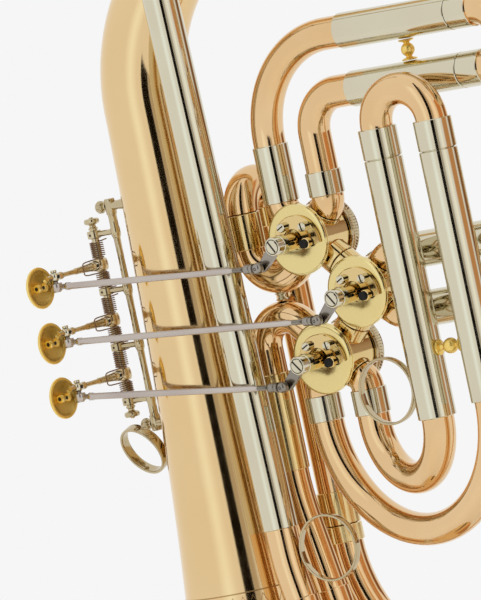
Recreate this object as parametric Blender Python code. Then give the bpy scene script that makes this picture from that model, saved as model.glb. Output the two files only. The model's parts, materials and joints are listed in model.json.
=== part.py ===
"""Bass trumpet with three rotary valves, standing on its bell.

Metres, +Z up.  The bell's axis is the Z axis and its rim lies on z = 0.
+X runs across the valves from the bell to the slides, and -Y is the side the valve covers face.
Places given with spot() are measured in millimetres from the middle of the first valve's cover.
"""

import bpy
import bmesh
from math import cos, sin, radians, pi, exp, atan2
from mathutils import Vector, Matrix

MM = 0.001


def mm(x, y, z):
    """A place or a distance given in millimetres."""
    return Vector((x * MM, y * MM, z * MM))


# Axes
X = Vector((1, 0, 0))
Y = Vector((0, 1, 0))
Z = Vector((0, 0, 1))

# Gap kept between pieces that touch or slide
GAP = 0.3 * MM

# Tubes of the valve section: outer radius, bore radius
TUBE_R = 6.6 * MM
TUBE_BORE = 6.0 * MM
# Outer sleeves, and the inner tubes that slide in them
SLEEVE_R = 7.3 * MM
SLEEVE_BORE = 6.65 * MM
INNER_R = 6.2 * MM
INNER_BORE = 5.7 * MM
# The third slide's wider sleeves
WIDE_R = 7.8 * MM
# How far inside a sleeve its bore begins to widen
SHOULDER = 1.5 * MM

# Bell
BELL_RIM_R = 90.0 * MM
BELL_STEM_R = 16.2 * MM
BELL_FLARE_LENGTH = 110.0 * MM
BELL_LIP = 33.0 * MM
BELL_LIP_LENGTH = 28.0 * MM
BELL_WALL = 1.0 * MM
BELL_LENGTH = 346.0 * MM
# The first valve's cover, measured from the bell's axis, and how far it is below the stem's top
VALVE_1 = mm(70.3, -12.0, 0.0) + Z * (BELL_LENGTH - 56.0 * MM)
BELL_BOW_RISE = 80.0 * MM
BELL_BOW_END_R = 10.6 * MM
BELL_BOW_START = 7.0 * MM
BELL_BOW_STEPS = 11
# The return tube that leads up to the bell's bow
RETURN_PLACE = mm(100.0, 66.0, 50.0)
RETURN_LOW = -118.8 * MM
FERRULE_RETURN = 8.0 * MM
BRANCH_R = 7.2 * MM
BRANCH_PLACE = mm(-33.0, 32.4, 0.0)

# Valves
VALVE_STEP = 24.3 * MM
COVER_R = 14.5 * MM
COVER_THICK = 2.6 * MM
CASING_R = 12.6 * MM
CASING_BORE = 10.2 * MM
CASING_LENGTH = 15.8 * MM
PORT_DEPTH = 10.8 * MM
STUB_R = 6.9 * MM
STUB_REACH = 13.0 * MM
CAP_LENGTH = 6.4 * MM
ROTOR_R = 9.9 * MM
VALVE_SIDES = 16
SPINDLE_R = 2.0 * MM
HUB_R = 3.4 * MM
COLLAR_R = 3.8 * MM
COLLAR_FRONT = -16.0 * MM
SCREW_R = 2.9 * MM
HUB_FRONT = -16.6 * MM
ARM_BACK = -12.6 * MM
ARM_FRONT = -14.8 * MM
ARM_LENGTH = 11.0 * MM
ARM_REST = 222.0
STUD_CLEAR = 0.6 * MM
# The horseshoe plate on each cover: outer radius, offset of its outside, inner radius, angles
PLATE_OUT = 11.2 * MM
PLATE_SHIFT = mm(1.5, 0.0, -1.0)
PLATE_IN = 4.6 * MM
PLATE_THICK = 1.8 * MM
PLATE_FROM = -18.0
PLATE_TO = 166.0

# Keys
AXLE = mm(-110.0, 10.0, 0.0)
AXLE_R = 1.6 * MM
KEY_HEIGHTS = (2.3 * MM, -20.6 * MM, -43.1 * MM)
POST_HEIGHTS = (14.7 * MM, -8.8 * MM, -31.8 * MM, -54.3 * MM)
KEY_REACH = 28.5 * MM
KEY_LEAN = 3.0
ROD_DROP = 4.1 * MM
ROD_R = 1.35 * MM
ROD_BALL_Y = -17.4 * MM
PLATE_R = 8.5 * MM
RAIL_X = -98.7 * MM
RAIL_R = 1.9 * MM
RAIL_WAIST_R = 1.4 * MM
RAIL_END = 3.0 * MM
RAIL_FOOT_R = 1.7 * MM
RAIL_FOOT_END_R = 2.6 * MM
POST_R = 3.3 * MM
POST_HALF = 1.7 * MM
POST_ARM_R = 1.2 * MM
FOOT_BEYOND_POST = 10.5 * MM
SPRING_TURNS = 4
SPRING_WIRE_R = 0.38 * MM
SPRING_COIL_R = 2.3 * MM
SPRING_PITCH = 1.2 * MM
SPRING_START = 3.4 * MM
SPRING_HOOK = 14.5 * MM

# Slides
LEG = 11.8 * MM
ELBOW_R = 8.3 * MM
FERRULE = 10.5 * MM
BOW_TOP_1 = 39.8 * MM
BOW_OUT_1 = 39.2 * MM
SLEEVE_FROM_1 = 36.3 * MM
SLEEVE_TO_1 = 93.0 * MM
CUFF_OUTER_1 = 38.7 * MM
CUFF_INNER_1 = 25.2 * MM
INSERTED_1 = 44.0 * MM
SLIDE_2_LEAN = 9.0
START_2 = 2.5 * MM
SLEEVE_2 = 34.0 * MM
INSERTED_2 = 27.0 * MM
SLIDE_3_NEAR = mm(56.0, -5.0, 0.0)
SLIDE_3_WIDTH = 28.0 * MM
OUTER_BOW_Z = -68.9 * MM
INNER_BOW_Z = -78.2 * MM
SLEEVE_TOP_3 = 27.1 * MM
CUFF_3 = 10.5 * MM
INSERTED_3 = 52.0 * MM
FERRULE_3 = 12.2 * MM

# Leadpipe and tuning slide
LEADPIPE_AT = mm(-35.6, -6.3, 0.0)
LEADPIPE_LEAN = Vector((0.029, -0.010, -1.0)).normalized()
LEADPIPE_TOP = 150.0 * MM
LEADPIPE_SLEEVE_END = -113.0 * MM
TUNING_LEAN = 10.0
TUNING_TOP = -142.0 * MM
TUNING_SLEEVE = 30.0 * MM
TUNING_INSERTED = 24.0 * MM
TUNING_LEG_X = -35.0 * MM
TUNING_LEG_BEND = -92.0 * MM
MOUTHPIECE_LENGTH = 84.0 * MM

# Finger rings: radius, and the thumb ring's middle measured from the bell's wall
THUMB_RING_R = 11.2 * MM
THUMB_RING_OUT = 11.5 * MM
THUMB_RING_DROP = 74.1 * MM
THUMB_RING_SIDE = 192.9
FINGER_RING_R = 13.8 * MM

# Colours: name, colour, roughness, metallic
FINISH = {
    "rose_brass": ((0.80, 0.56, 0.36), 0.16, 1.0),
    "gold_brass": ((0.84, 0.62, 0.27), 0.16, 1.0),
    "yellow_brass": ((0.88, 0.74, 0.38), 0.20, 1.0),
    "nickel_silver": ((0.78, 0.77, 0.68), 0.18, 1.0),
    "rod_nickel": ((0.62, 0.55, 0.50), 0.30, 1.0),
    "gilt": ((0.80, 0.53, 0.12), 0.18, 1.0),
    "spring_bronze": ((0.45, 0.28, 0.17), 0.35, 1.0),
}


def spot(x, y, z):
    """A place in millimetres from the middle of the first valve's cover."""
    return VALVE_1 + mm(x, y, z)


def clear_scene():
    for thing in list(bpy.data.objects):
        bpy.data.objects.remove(thing, do_unlink=True)


def material(name, finish):
    colour, roughness, metallic = FINISH[finish]
    made = bpy.data.materials.new(name)
    made.use_nodes = True
    shader = made.node_tree.nodes["Principled BSDF"]
    shader.inputs["Base Color"].default_value = (*colour, 1.0)
    shader.inputs["Roughness"].default_value = roughness
    shader.inputs["Metallic"].default_value = metallic
    made.diffuse_color = (*colour, 1.0)
    return made


def make_object(name, mesh_maker, finish, origin=None):
    """Turn a finished bmesh into an object whose origin is the given place."""
    origin = origin or Vector((0, 0, 0))
    bmesh.ops.recalc_face_normals(mesh_maker, faces=mesh_maker.faces)
    bmesh.ops.translate(mesh_maker, vec=-origin, verts=mesh_maker.verts)
    mesh = bpy.data.meshes.new(name)
    mesh_maker.to_mesh(mesh)
    mesh_maker.free()
    mesh.shade_smooth()
    mesh.set_sharp_from_angle(angle=radians(38))
    thing = bpy.data.objects.new(name, mesh)
    thing.location = origin
    bpy.context.scene.collection.objects.link(thing)
    if finish:
        mesh.materials.append(material(name, finish))
    return thing


def cutter(thing):
    """Keep a shape as a tool for a Boolean only."""
    thing.hide_render = True
    thing.display_type = "WIRE"
    return thing


def combine(thing, tool, operation):
    step = thing.modifiers.new(operation.lower(), "BOOLEAN")
    step.operation = operation
    step.solver = "EXACT"
    step.object = cutter(tool)
    return thing


def across(heading):
    """Two directions square to a heading, the same for every heading in the XZ plane."""
    guide = Z if abs(heading.dot(Y)) > 0.9 else Y
    first = (guide - heading * guide.dot(heading)).normalized()
    return first, heading.cross(first)


def ring(maker, place, first, second, radius, sides):
    turn = 2 * pi / sides
    return [maker.verts.new(place + radius * (cos(k * turn) * first + sin(k * turn) * second))
            for k in range(sides)]


def skin(maker, low, high):
    """Join two rings of the same number of points; a pole is a ring of one point."""
    count = max(len(low), len(high))
    for k in range(count):
        after = (k + 1) % count
        if len(low) == 1:
            maker.faces.new((low[0], high[k], high[after]))
        elif len(high) == 1:
            maker.faces.new((low[k], high[0], low[after]))
        else:
            maker.faces.new((low[k], high[k], high[after], low[after]))


def end_face(maker, outer, inner):
    """Close a tube's end; the bore may have half the outer skin's sides."""
    if len(outer) == len(inner):
        skin(maker, outer, inner)
        return
    count = len(inner)
    for k in range(count):
        after = (k + 1) % count
        left, middle = outer[2 * k], outer[2 * k + 1]
        right = outer[(2 * k + 2) % len(outer)]
        maker.faces.new((inner[k], left, middle))
        maker.faces.new((inner[k], middle, inner[after]))
        maker.faces.new((inner[after], middle, right))


class Route:
    """A tube's centre line, walked from one end: place, heading, outer and bore radius."""

    def __init__(self, place, heading, outer=TUBE_R, bore=TUBE_BORE):
        self.place = Vector(place)
        self.heading = heading.normalized()
        self.outer = outer
        self.bore = bore
        self.stations = []
        self.mark()

    def mark(self):
        self.stations.append((self.place.copy(), self.heading.copy(), self.outer, self.bore))

    def step(self, outer, bore=None):
        """Change the outside radius at once, as at a ferrule's edge."""
        self.outer = outer
        self.bore = bore or self.bore
        self.mark()
        return self

    def sleeve(self, outer, bore, length):
        """A wider tube over the end: its outside starts at once, its bore a shoulder deeper."""
        self.step(outer)
        self.go(SHOULDER)
        self.step(outer, bore)
        return self.go(length - SHOULDER)

    def go(self, length, outer=None, bore=None):
        self.place = self.place + self.heading * length
        self.outer = outer or self.outer
        self.bore = bore or self.bore
        self.mark()
        return self

    def turn(self, radius, degrees, axis, steps, outer=None, bore=None):
        """Bend about an axis square to the heading, positive by the right-hand rule."""
        side = 1 if degrees > 0 else -1
        middle = self.place + side * radius * axis.cross(self.heading).normalized()
        spoke, start = self.place - middle, self.heading.copy()
        outer_start, bore_start = self.outer, self.bore
        for k in range(1, steps + 1):
            spin = Matrix.Rotation(radians(degrees) * k / steps, 3, axis)
            self.place = middle + spin @ spoke
            self.heading = (spin @ start).normalized()
            self.outer = outer_start + ((outer or outer_start) - outer_start) * k / steps
            self.bore = bore_start + ((bore or bore_start) - bore_start) * k / steps
            self.mark()
        return self

    def turn_to(self, heading, radius, steps):
        """Bend the shortest way to a new heading."""
        axis = self.heading.cross(heading).normalized()
        angle = self.heading.angle(heading) * 180 / pi
        return self.turn(radius, angle, axis, steps)


def tube(name, route, finish, sides=10, bore_sides=5, origin=None):
    """A hollow tube along a route, open at both ends."""
    maker = bmesh.new()
    first, _ = across(route.stations[0][1])
    last = (None, route.stations[0][1], 0, 0)
    outer_rings, bore_rings = [], []
    for place, heading, outer, bore in route.stations:
        first = last[1].rotation_difference(heading) @ first
        first = (first - heading * first.dot(heading)).normalized()
        second = heading.cross(first)
        moved = last[0] is None or (place - last[0]).length > 1e-6
        if moved or outer != last[2]:
            outer_rings.append(ring(maker, place, first, second, outer, sides))
        if moved or bore != last[3]:
            bore_rings.append(ring(maker, place, first, second, bore, bore_sides))
        last = (place, heading, outer, bore)
    for low, high in zip(outer_rings, outer_rings[1:]):
        skin(maker, low, high)
    for low, high in zip(bore_rings, bore_rings[1:]):
        skin(maker, low, high)
    end_face(maker, outer_rings[0], bore_rings[0])
    end_face(maker, outer_rings[-1], bore_rings[-1])
    return make_object(name, maker, finish, origin)


def turned(name, outline, place, heading, finish, sides=10, closed=False, origin=None):
    """A turned piece: outline points are (radius, distance along the heading)."""
    maker = bmesh.new()
    first, second = across(heading.normalized())
    rings = []
    for radius, along in outline:
        middle = place + heading.normalized() * along
        if radius == 0:
            rings.append([maker.verts.new(middle)])
        else:
            rings.append(ring(maker, middle, first, second, radius, sides))
    for low, high in zip(rings, rings[1:]):
        skin(maker, low, high)
    if closed:
        skin(maker, rings[-1], rings[0])
    return make_object(name, maker, finish, origin)


def add_rod(maker, start, end, radius, sides=8, radius_end=None):
    """Add a plain round bar with flat ends to a mesh that holds several."""
    heading = (end - start).normalized()
    first, second = across(heading)
    low = ring(maker, start, first, second, radius, sides)
    high = ring(maker, end, first, second, radius_end or radius, sides)
    skin(maker, low, high)
    maker.faces.new(low)
    maker.faces.new(high)


def add_hull(maker, points):
    verts = [maker.verts.new(p) for p in points]
    made = bmesh.ops.convex_hull(maker, input=verts)
    bmesh.ops.delete(maker, geom=made["geom_interior"], context="VERTS")


def circle_points(place, first, second, radius, sides):
    turn = 2 * pi / sides
    return [place + radius * (cos(k * turn) * first + sin(k * turn) * second)
            for k in range(sides)]


def valve_place(number):
    """The middle of a valve's cover face: the second valve sits between and beside the others."""
    shift = VALVE_STEP if number == 2 else 0.0
    return VALVE_1 + Vector((shift, 0, -(number - 1) * VALVE_STEP))


def port_way(degrees):
    return Vector((cos(radians(degrees)), 0, sin(radians(degrees))))


def port_start(number, degrees, reach=None):
    """Where a tube leaves a valve, just clear of the port's stub."""
    reach = (reach or STUB_REACH) + GAP
    return valve_place(number) + Y * PORT_DEPTH + port_way(degrees) * reach


# Bell and its bow

def bell_radius(height):
    """The bell's outer radius at a height above its rim."""
    flare = (BELL_RIM_R - BELL_STEM_R - BELL_LIP) * exp(-height / BELL_FLARE_LENGTH)
    return BELL_STEM_R + flare + BELL_LIP * exp(-height / BELL_LIP_LENGTH)


def make_bell():
    heights = [k * MM for k in (6, 15, 28, 46, 72, 110, 165, 240)] + [BELL_LENGTH]
    outside = [(BELL_RIM_R - 0.6 * MM, 0), (BELL_RIM_R, 0.8 * MM), (BELL_RIM_R, 1.8 * MM)]
    outside += [(bell_radius(h), h) for h in heights]
    inside = [(bell_radius(h) - BELL_WALL, h) for h in reversed(heights)]
    inside += [(BELL_RIM_R - 3.2 * MM, 1.6 * MM), (BELL_RIM_R - 3.0 * MM, 0)]
    return turned("bell", outside + inside, Vector((0, 0, 0)), Z, "rose_brass", sides=20, closed=True)


def bell_bow_station(turn):
    """The bow's middle, heading and outer radius after a turn between 0 and pi."""
    end = VALVE_1 + RETURN_PLACE
    span = Vector((end.x, end.y, 0))
    way, half = span.normalized(), span.length / 2
    base = Z * (BELL_LENGTH + GAP + BELL_BOW_START)
    place = base + way * half * (1 - cos(turn)) + Z * BELL_BOW_RISE * sin(turn)
    heading = (way * half * sin(turn) + Z * BELL_BOW_RISE * cos(turn)).normalized()
    start_r = bell_radius(BELL_LENGTH)
    return place, heading, start_r + (BELL_BOW_END_R - start_r) * turn / pi


def make_bell_bow():
    """A half oval from the bell's stem to the top of the return tube."""
    start_r = bell_radius(BELL_LENGTH)
    route = Route(Z * (BELL_LENGTH + GAP), Z, start_r, start_r - BELL_WALL)
    route.go(BELL_BOW_START)
    for k in range(1, BELL_BOW_STEPS + 1):
        route.place, route.heading, route.outer = bell_bow_station(pi * k / BELL_BOW_STEPS)
        route.bore = route.outer - BELL_WALL
        route.mark()
    end = VALVE_1 + RETURN_PLACE
    route.go(route.place.z - end.z - FERRULE_RETURN)
    route.step(BELL_BOW_END_R + 0.9 * MM)
    route.go(FERRULE_RETURN)
    return tube("bell_bow", route, "rose_brass", sides=12, bore_sides=6)


def make_return_tube():
    """From the branch tube round the bottom bow and up to the bell's bow."""
    start = VALVE_1 + BRANCH_PLACE + Z * RETURN_LOW
    top = VALVE_1 + RETURN_PLACE
    span = Vector((top.x - start.x, top.y - start.y, 0))
    axis = Z.cross(span.normalized()).normalized()
    route = Route(start, -Z, BRANCH_R + 0.8 * MM, BRANCH_R - 0.6 * MM)
    route.go(7.0 * MM)
    route.step(BRANCH_R)
    route.turn(span.length / 2, -180, axis, 9, outer=8.3 * MM, bore=7.6 * MM)
    rise = top.z - route.place.z - GAP
    route.go(rise, outer=BELL_BOW_END_R, bore=BELL_BOW_END_R - 0.8 * MM)
    return tube("return_tube", route, "rose_brass")


# Branch from the first valve to the return tube

def make_branch():
    """Bow off the first valve, then the crook over its back and the tube going down."""
    leg_x = VALVE_1.x + BRANCH_PLACE.x
    route = Route(port_start(1, 225), port_way(225), TUBE_R, TUBE_BORE)
    radius = 13.15 * MM
    straight = (route.place.x - leg_x - (1 + cos(radians(45))) * radius) / cos(radians(45))
    route.go(max(straight, 0.5 * MM))
    route.turn(radius, -135, -Y, 6)
    route.step(TUBE_R + 0.7 * MM)
    route.go(VALVE_1.z + 13.2 * MM - route.place.z)
    tube("branch_bow", route, "gold_brass")
    crook = Route(route.place + Z * GAP, Z, BRANCH_R, TUBE_BORE)
    reach = (VALVE_1.y + BRANCH_PLACE.y - route.place.y) / 2
    crook.turn(reach, 180, -X, 6)
    crook.step(BRANCH_R + 0.7 * MM)
    crook.go(8 * MM)
    crook.step(BRANCH_R)
    crook.go(crook.place.z - (VALVE_1.z + RETURN_LOW) - 14 * MM)
    crook.step(BRANCH_R + 0.7 * MM)
    crook.go(14 * MM - GAP)
    return tube("branch_tube", crook, "rose_brass")


# Valves

def make_casing(number, ports):
    """A casing with four port stubs, given as (degrees, reach from the valve's axis)."""
    name = f"valve_casing_{number}"
    axis = valve_place(number)
    front = COVER_THICK + GAP
    maker = bmesh.new()
    add_rod(maker, axis + Y * front, axis + Y * (front + CASING_LENGTH), CASING_R, VALVE_SIDES)
    casing = make_object(name, maker, "gold_brass")
    stubs, bores, hollow = bmesh.new(), bmesh.new(), bmesh.new()
    middle = axis + Y * PORT_DEPTH
    for degrees, reach in ports:
        way = port_way(degrees)
        add_rod(stubs, middle + way * 9.2 * MM, middle + way * reach, STUB_R, 8)
        add_rod(bores, middle + way * 8.6 * MM, middle + way * (reach + MM), TUBE_BORE * 0.93, 6)
    add_rod(hollow, axis, axis + Y * (front + CASING_LENGTH + MM), CASING_BORE, VALVE_SIDES)
    combine(casing, make_object(name + "_stubs", stubs, None), "UNION")
    combine(casing, make_object(name + "_bore", hollow, None), "DIFFERENCE")
    combine(casing, make_object(name + "_ports", bores, None), "DIFFERENCE")
    return casing


def make_rotor(number):
    """The rotor, its spindle, and the two curved passages that swap with a quarter turn."""
    name = f"valve_rotor_{number}"
    axis = valve_place(number)
    front = COVER_THICK + 2 * GAP
    back = COVER_THICK + CASING_LENGTH
    outline = [(0, -0.9 * MM), (SPINDLE_R, -0.9 * MM), (SPINDLE_R, front), (ROTOR_R, front),
               (ROTOR_R, back), (SPINDLE_R, back), (SPINDLE_R, back + 3.0 * MM), (0, back + 3.0 * MM)]
    rotor = turned(name, outline, axis, Y, "yellow_brass", sides=VALVE_SIDES, origin=axis)
    passages = bmesh.new()
    bend = CASING_BORE
    for side in (1, -1):
        middle = axis + Y * PORT_DEPTH + Z * side * bend * 2 ** 0.5
        rings = []
        for k in range(5):
            angle = radians(-30 - 120 * k / 4) if side > 0 else radians(30 + 120 * k / 4)
            spoke = Vector((cos(angle), 0, sin(angle)))
            rings.append(ring(passages, middle + spoke * bend, spoke, Y, TUBE_BORE * 0.85, 6))
        for low, high in zip(rings, rings[1:]):
            skin(passages, low, high)
        passages.faces.new(rings[0])
        passages.faces.new(rings[-1])
    tool = make_object(name + "_passages", passages, None)
    combine(rotor, tool, "DIFFERENCE")
    return rotor


def make_cover(number):
    hole = SPINDLE_R + GAP
    outline = [(hole, 0), (COVER_R - 0.5 * MM, 0), (COVER_R, 0.5 * MM),
               (COVER_R, COVER_THICK), (hole, COVER_THICK)]
    return turned(f"valve_cover_{number}", outline, valve_place(number), Y, "yellow_brass",
                  sides=VALVE_SIDES, closed=True)


def make_back_cap(number):
    """The screwed cap at the back, with a raised rim and the rear bearing's hollow."""
    start = COVER_THICK + CASING_LENGTH + 2 * GAP
    outline = [(0, 4.0 * MM), (SPINDLE_R + GAP, 4.0 * MM), (SPINDLE_R + GAP, 0), (COVER_R - 0.4 * MM, 0),
               (COVER_R, 0.4 * MM), (COVER_R, 4.6 * MM), (COVER_R - 0.8 * MM, 5.4 * MM),
               (COVER_R - 2.4 * MM, 5.4 * MM), (COVER_R - 3.0 * MM, CAP_LENGTH), (0, CAP_LENGTH)]
    return turned(f"valve_cap_{number}", outline, valve_place(number) + Y * start, Y,
                  "nickel_silver", sides=VALVE_SIDES)


def make_bumper_plate(number):
    """The horseshoe plate round the hub that carries the rubber bumpers."""
    axis = valve_place(number) - Y * GAP
    maker = bmesh.new()
    loops = []
    steps = 10
    for k in range(steps + 1):
        way = port_way(PLATE_FROM + (PLATE_TO - PLATE_FROM) * k / steps)
        inner = axis + way * PLATE_IN
        outer = axis + PLATE_SHIFT + way * PLATE_OUT
        corners = (inner, outer, outer - Y * PLATE_THICK, inner - Y * PLATE_THICK)
        loops.append([maker.verts.new(corner) for corner in corners])
    for low, high in zip(loops, loops[1:]):
        skin(maker, low, high)
    maker.faces.new(loops[0])
    maker.faces.new(loops[-1])
    return make_object(f"bumper_plate_{number}", maker, "gold_brass")


def make_stop_arm(number):
    """Hub on the spindle, the arm that the rod turns, and the big slotted screw's head."""
    name = f"stop_arm_{number}"
    axis = valve_place(number)
    outline = [(0, -1.2 * MM), (HUB_R, -1.2 * MM), (HUB_R, ARM_BACK + 2.6 * MM),
               (COLLAR_R, ARM_BACK + 2.2 * MM), (COLLAR_R, COLLAR_FRONT), (SCREW_R, COLLAR_FRONT),
               (SCREW_R, HUB_FRONT), (0, HUB_FRONT)]
    arm = turned(name, outline, axis, Y, "nickel_silver", sides=12, origin=axis)
    maker = bmesh.new()
    way = port_way(ARM_REST)
    points = []
    for depth in (ARM_BACK, ARM_FRONT):
        level = axis + Y * depth
        points += circle_points(level, X, Z, 2.6 * MM, 10)
        points += circle_points(level + way * ARM_LENGTH, X, Z, 2.0 * MM, 10)
    add_hull(maker, points)
    combine(arm, make_object(name + "_blade", maker, None), "UNION")
    return arm


def make_valves():
    link = VALVE_STEP * 2 ** 0.5 / 2 - GAP / 2
    make_casing(1, [(135, STUB_REACH), (45, STUB_REACH), (225, STUB_REACH), (-45, link)])
    make_casing(2, [(135, link), (45, STUB_REACH), (-45, STUB_REACH), (225, link)])
    make_casing(3, [(45, link), (135, STUB_REACH), (225, STUB_REACH), (-45, STUB_REACH)])
    for number in (1, 2, 3):
        make_rotor(number)
        make_cover(number)
        make_back_cap(number)
        make_bumper_plate(number)
        make_stop_arm(number)


# Slides

def elbow(number, degrees, heading):
    """A tube's first bend, from a valve's slanted port to its leg's heading."""
    route = Route(port_start(number, degrees), port_way(degrees), TUBE_R, TUBE_BORE)
    return route.turn_to(heading, ELBOW_R, 3)


def slide_bow(name, leg_ends, heading, inserted, collar_r=SLEEVE_R, ferrule=FERRULE):
    """A moving U: two inner tubes, two ferrules and the bow; leg_ends are the sleeves' mouths."""
    first, second = leg_ends
    half = (second - first).length / 2
    axis = heading.cross((second - first).normalized()).normalized()
    route = Route(first - heading * inserted, heading, INNER_R, INNER_BORE)
    route.go(inserted + GAP)
    route.step(collar_r)
    route.go(ferrule)
    route.step(TUBE_R)
    route.turn(half, 180, axis, 6)
    route.step(collar_r)
    route.go(ferrule)
    route.step(INNER_R)
    route.go(inserted + GAP)
    return tube(name, route, "rose_brass", origin=first)


def make_slide_1():
    """Two legs that rise and turn towards +X, and the slide that pulls out that way."""
    for name, degrees, radius, cuff, steps in (
            ("slide_1_outer_leg", 135, BOW_OUT_1, CUFF_OUTER_1, 4),
            ("slide_1_inner_leg", 45, BOW_OUT_1 - 2 * LEG, CUFF_INNER_1, 4)):
        route = elbow(1, degrees, Z)
        route.step(SLEEVE_R)
        route.go(VALVE_1.z + cuff - route.place.z)
        route.step(TUBE_R)
        route.go(BOW_TOP_1 - cuff)
        route.turn(radius, 90, Y, steps)
        route.go(VALVE_1.x + SLEEVE_FROM_1 - route.place.x, bore=TUBE_BORE)
        route.sleeve(SLEEVE_R, SLEEVE_BORE, SLEEVE_TO_1 - SLEEVE_FROM_1)
        tube(name, route, "rose_brass", bore_sides=10)
        if degrees == 135:
            upper = route.place.copy()
        else:
            lower = route.place.copy()
    return slide_bow("slide_1", (upper, lower), X, INSERTED_1)


def make_slide_2():
    """Two short legs from the middle valve and their slide, turned a little to the back."""
    way = Vector((cos(radians(SLIDE_2_LEAN)), sin(radians(SLIDE_2_LEAN)), 0))
    mouths = []
    for name, degrees in (("slide_2_upper_leg", 45), ("slide_2_lower_leg", -45)):
        route = elbow(2, degrees, way)
        route.go(START_2)
        route.sleeve(SLEEVE_R, SLEEVE_BORE, SLEEVE_2)
        tube(name, route, "rose_brass", bore_sides=10)
        mouths.append(route.place.copy())
    return slide_bow("slide_2", mouths, way, INSERTED_2)


def make_slide_3():
    """Two nested bows under the third valve, rising to a slide that pulls upwards."""
    near = VALVE_1 + SLIDE_3_NEAR
    far = near + X * SLIDE_3_WIDTH
    top = VALVE_1.z + SLEEVE_TOP_3
    mouths = []
    for name, degrees, leg, bow_z in (
            ("slide_3_inner_leg", -45, near, INNER_BOW_Z),
            ("slide_3_outer_leg", 225, far, OUTER_BOW_Z)):
        route = elbow(3, degrees, -Z)
        route.step(SLEEVE_R)
        route.go(CUFF_3)
        route.step(TUBE_R)
        start = route.place.copy()
        span = Vector((leg.x - start.x, leg.y - start.y, 0))
        axis = Z.cross(span.normalized()).normalized()
        straight = start.z - VALVE_1.z - bow_z
        if straight > MM:
            route.go(straight)
        steps = 7 if leg is near else 8
        route.turn(span.length / 2, -180, axis, steps)
        route.sleeve(WIDE_R, SLEEVE_BORE, top - route.place.z)
        tube(name, route, "rose_brass", bore_sides=10)
        mouths.append(route.place.copy())
    return slide_bow("slide_3", mouths, Z, INSERTED_3, WIDE_R, FERRULE_3)


# Leadpipe side

def leadpipe_place(height):
    """A place on the leadpipe's straight line at a height from the first valve."""
    at = VALVE_1 + LEADPIPE_AT
    along = (height - LEADPIPE_AT.z) / LEADPIPE_LEAN.z
    return at + LEADPIPE_LEAN * along


def make_leadpipe():
    """The silver sleeve, the tube below it, its bend, and the tuning slide's outer tube."""
    route = Route(leadpipe_place(LEADPIPE_TOP), LEADPIPE_LEAN, SLEEVE_R, TUBE_BORE)
    route.go((LEADPIPE_TOP - LEADPIPE_SLEEVE_END) / -LEADPIPE_LEAN.z)
    route.step(TUBE_R)
    route.go(8 * MM)
    way = tuning_way()
    route.turn_to(way, 90 * MM, 3)
    route.go((route.place.z - VALVE_1.z - TUNING_TOP) / -way.z)
    route.sleeve(SLEEVE_R, SLEEVE_BORE, TUNING_SLEEVE)
    tube("leadpipe", route, "rose_brass", bore_sides=10)
    return route.place.copy()


def tuning_way():
    return Vector((sin(radians(TUNING_LEAN)), 0, -cos(radians(TUNING_LEAN))))


def make_receiver():
    """The narrow upper leadpipe and the mouthpiece receiver at its top."""
    base = leadpipe_place(LEADPIPE_TOP) - LEADPIPE_LEAN * GAP
    outline = [(6.2 * MM, 0), (6.2 * MM, 3 * MM), (8.2 * MM, 3.2 * MM), (8.2 * MM, 6.5 * MM),
               (5.6 * MM, 8 * MM), (5.3 * MM, 46 * MM), (7.6 * MM, 48 * MM), (7.9 * MM, 54 * MM),
               (7.4 * MM, 70 * MM), (8.6 * MM, 72 * MM), (8.6 * MM, 76 * MM), (8.0 * MM, 77 * MM),
               (6.6 * MM, 77 * MM), (6.1 * MM, 50 * MM), (4.4 * MM, 46 * MM), (4.9 * MM, 0)]
    return turned("mouthpiece_receiver", outline, base, -LEADPIPE_LEAN, "nickel_silver", closed=True)


def make_mouthpiece():
    """Cup, throat and shank; the shank sits in the receiver."""
    base = leadpipe_place(LEADPIPE_TOP) - LEADPIPE_LEAN * (GAP + 53 * MM)
    length = MOUTHPIECE_LENGTH
    outline = [(5.6 * MM, 0), (6.15 * MM, 24 * MM), (6.7 * MM, 27 * MM), (7.2 * MM, 44 * MM),
               (11.5 * MM, 54 * MM), (15.5 * MM, 66 * MM), (17.0 * MM, length - 4 * MM),
               (18.6 * MM, length - 2.5 * MM), (18.0 * MM, length - 0.5 * MM), (16.0 * MM, length),
               (13.4 * MM, length - 0.8 * MM), (12.2 * MM, length - 3 * MM), (11.0 * MM, length - 13 * MM),
               (6.0 * MM, length - 21 * MM), (3.2 * MM, length - 25 * MM), (3.2 * MM, length - 32 * MM),
               (4.5 * MM, 0)]
    return turned("mouthpiece", outline, base, -LEADPIPE_LEAN, "nickel_silver", sides=12, closed=True,
                  origin=base)


def make_tuning_return():
    """The bow off the third valve and the tube down to the tuning slide's other leg."""
    route = Route(port_start(3, 135), port_way(135), TUBE_R, TUBE_BORE)
    radius = 11.9 * MM
    leg_x = VALVE_1.x + TUNING_LEG_X
    straight = (route.place.x - leg_x - (1 + cos(radians(45))) * radius) / cos(radians(45))
    route.go(max(straight, 0.5 * MM))
    route.turn(radius, 135, -Y, 5)
    route.go(10 * MM)
    route.step(TUBE_R + 0.6 * MM)
    route.go(route.place.z - VALVE_1.z - TUNING_LEG_BEND)
    way = tuning_way()
    route.step(TUBE_R)
    route.turn_to(way, 110 * MM, 3)
    route.go((route.place.z - VALVE_1.z - TUNING_TOP) / -way.z)
    route.sleeve(SLEEVE_R, SLEEVE_BORE, TUNING_SLEEVE)
    tube("tuning_return", route, "rose_brass", bore_sides=10)
    return route.place.copy()


def make_tuning_slide():
    near = make_leadpipe()
    back = make_tuning_return()
    way = tuning_way()
    slip = (back - near).dot(way)
    back = back - way * slip
    return slide_bow("tuning_slide", (near, back), way, TUNING_INSERTED)


# Keys

def key_axis(number):
    return VALVE_1 + AXLE + Z * KEY_HEIGHTS[number - 1]


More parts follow.
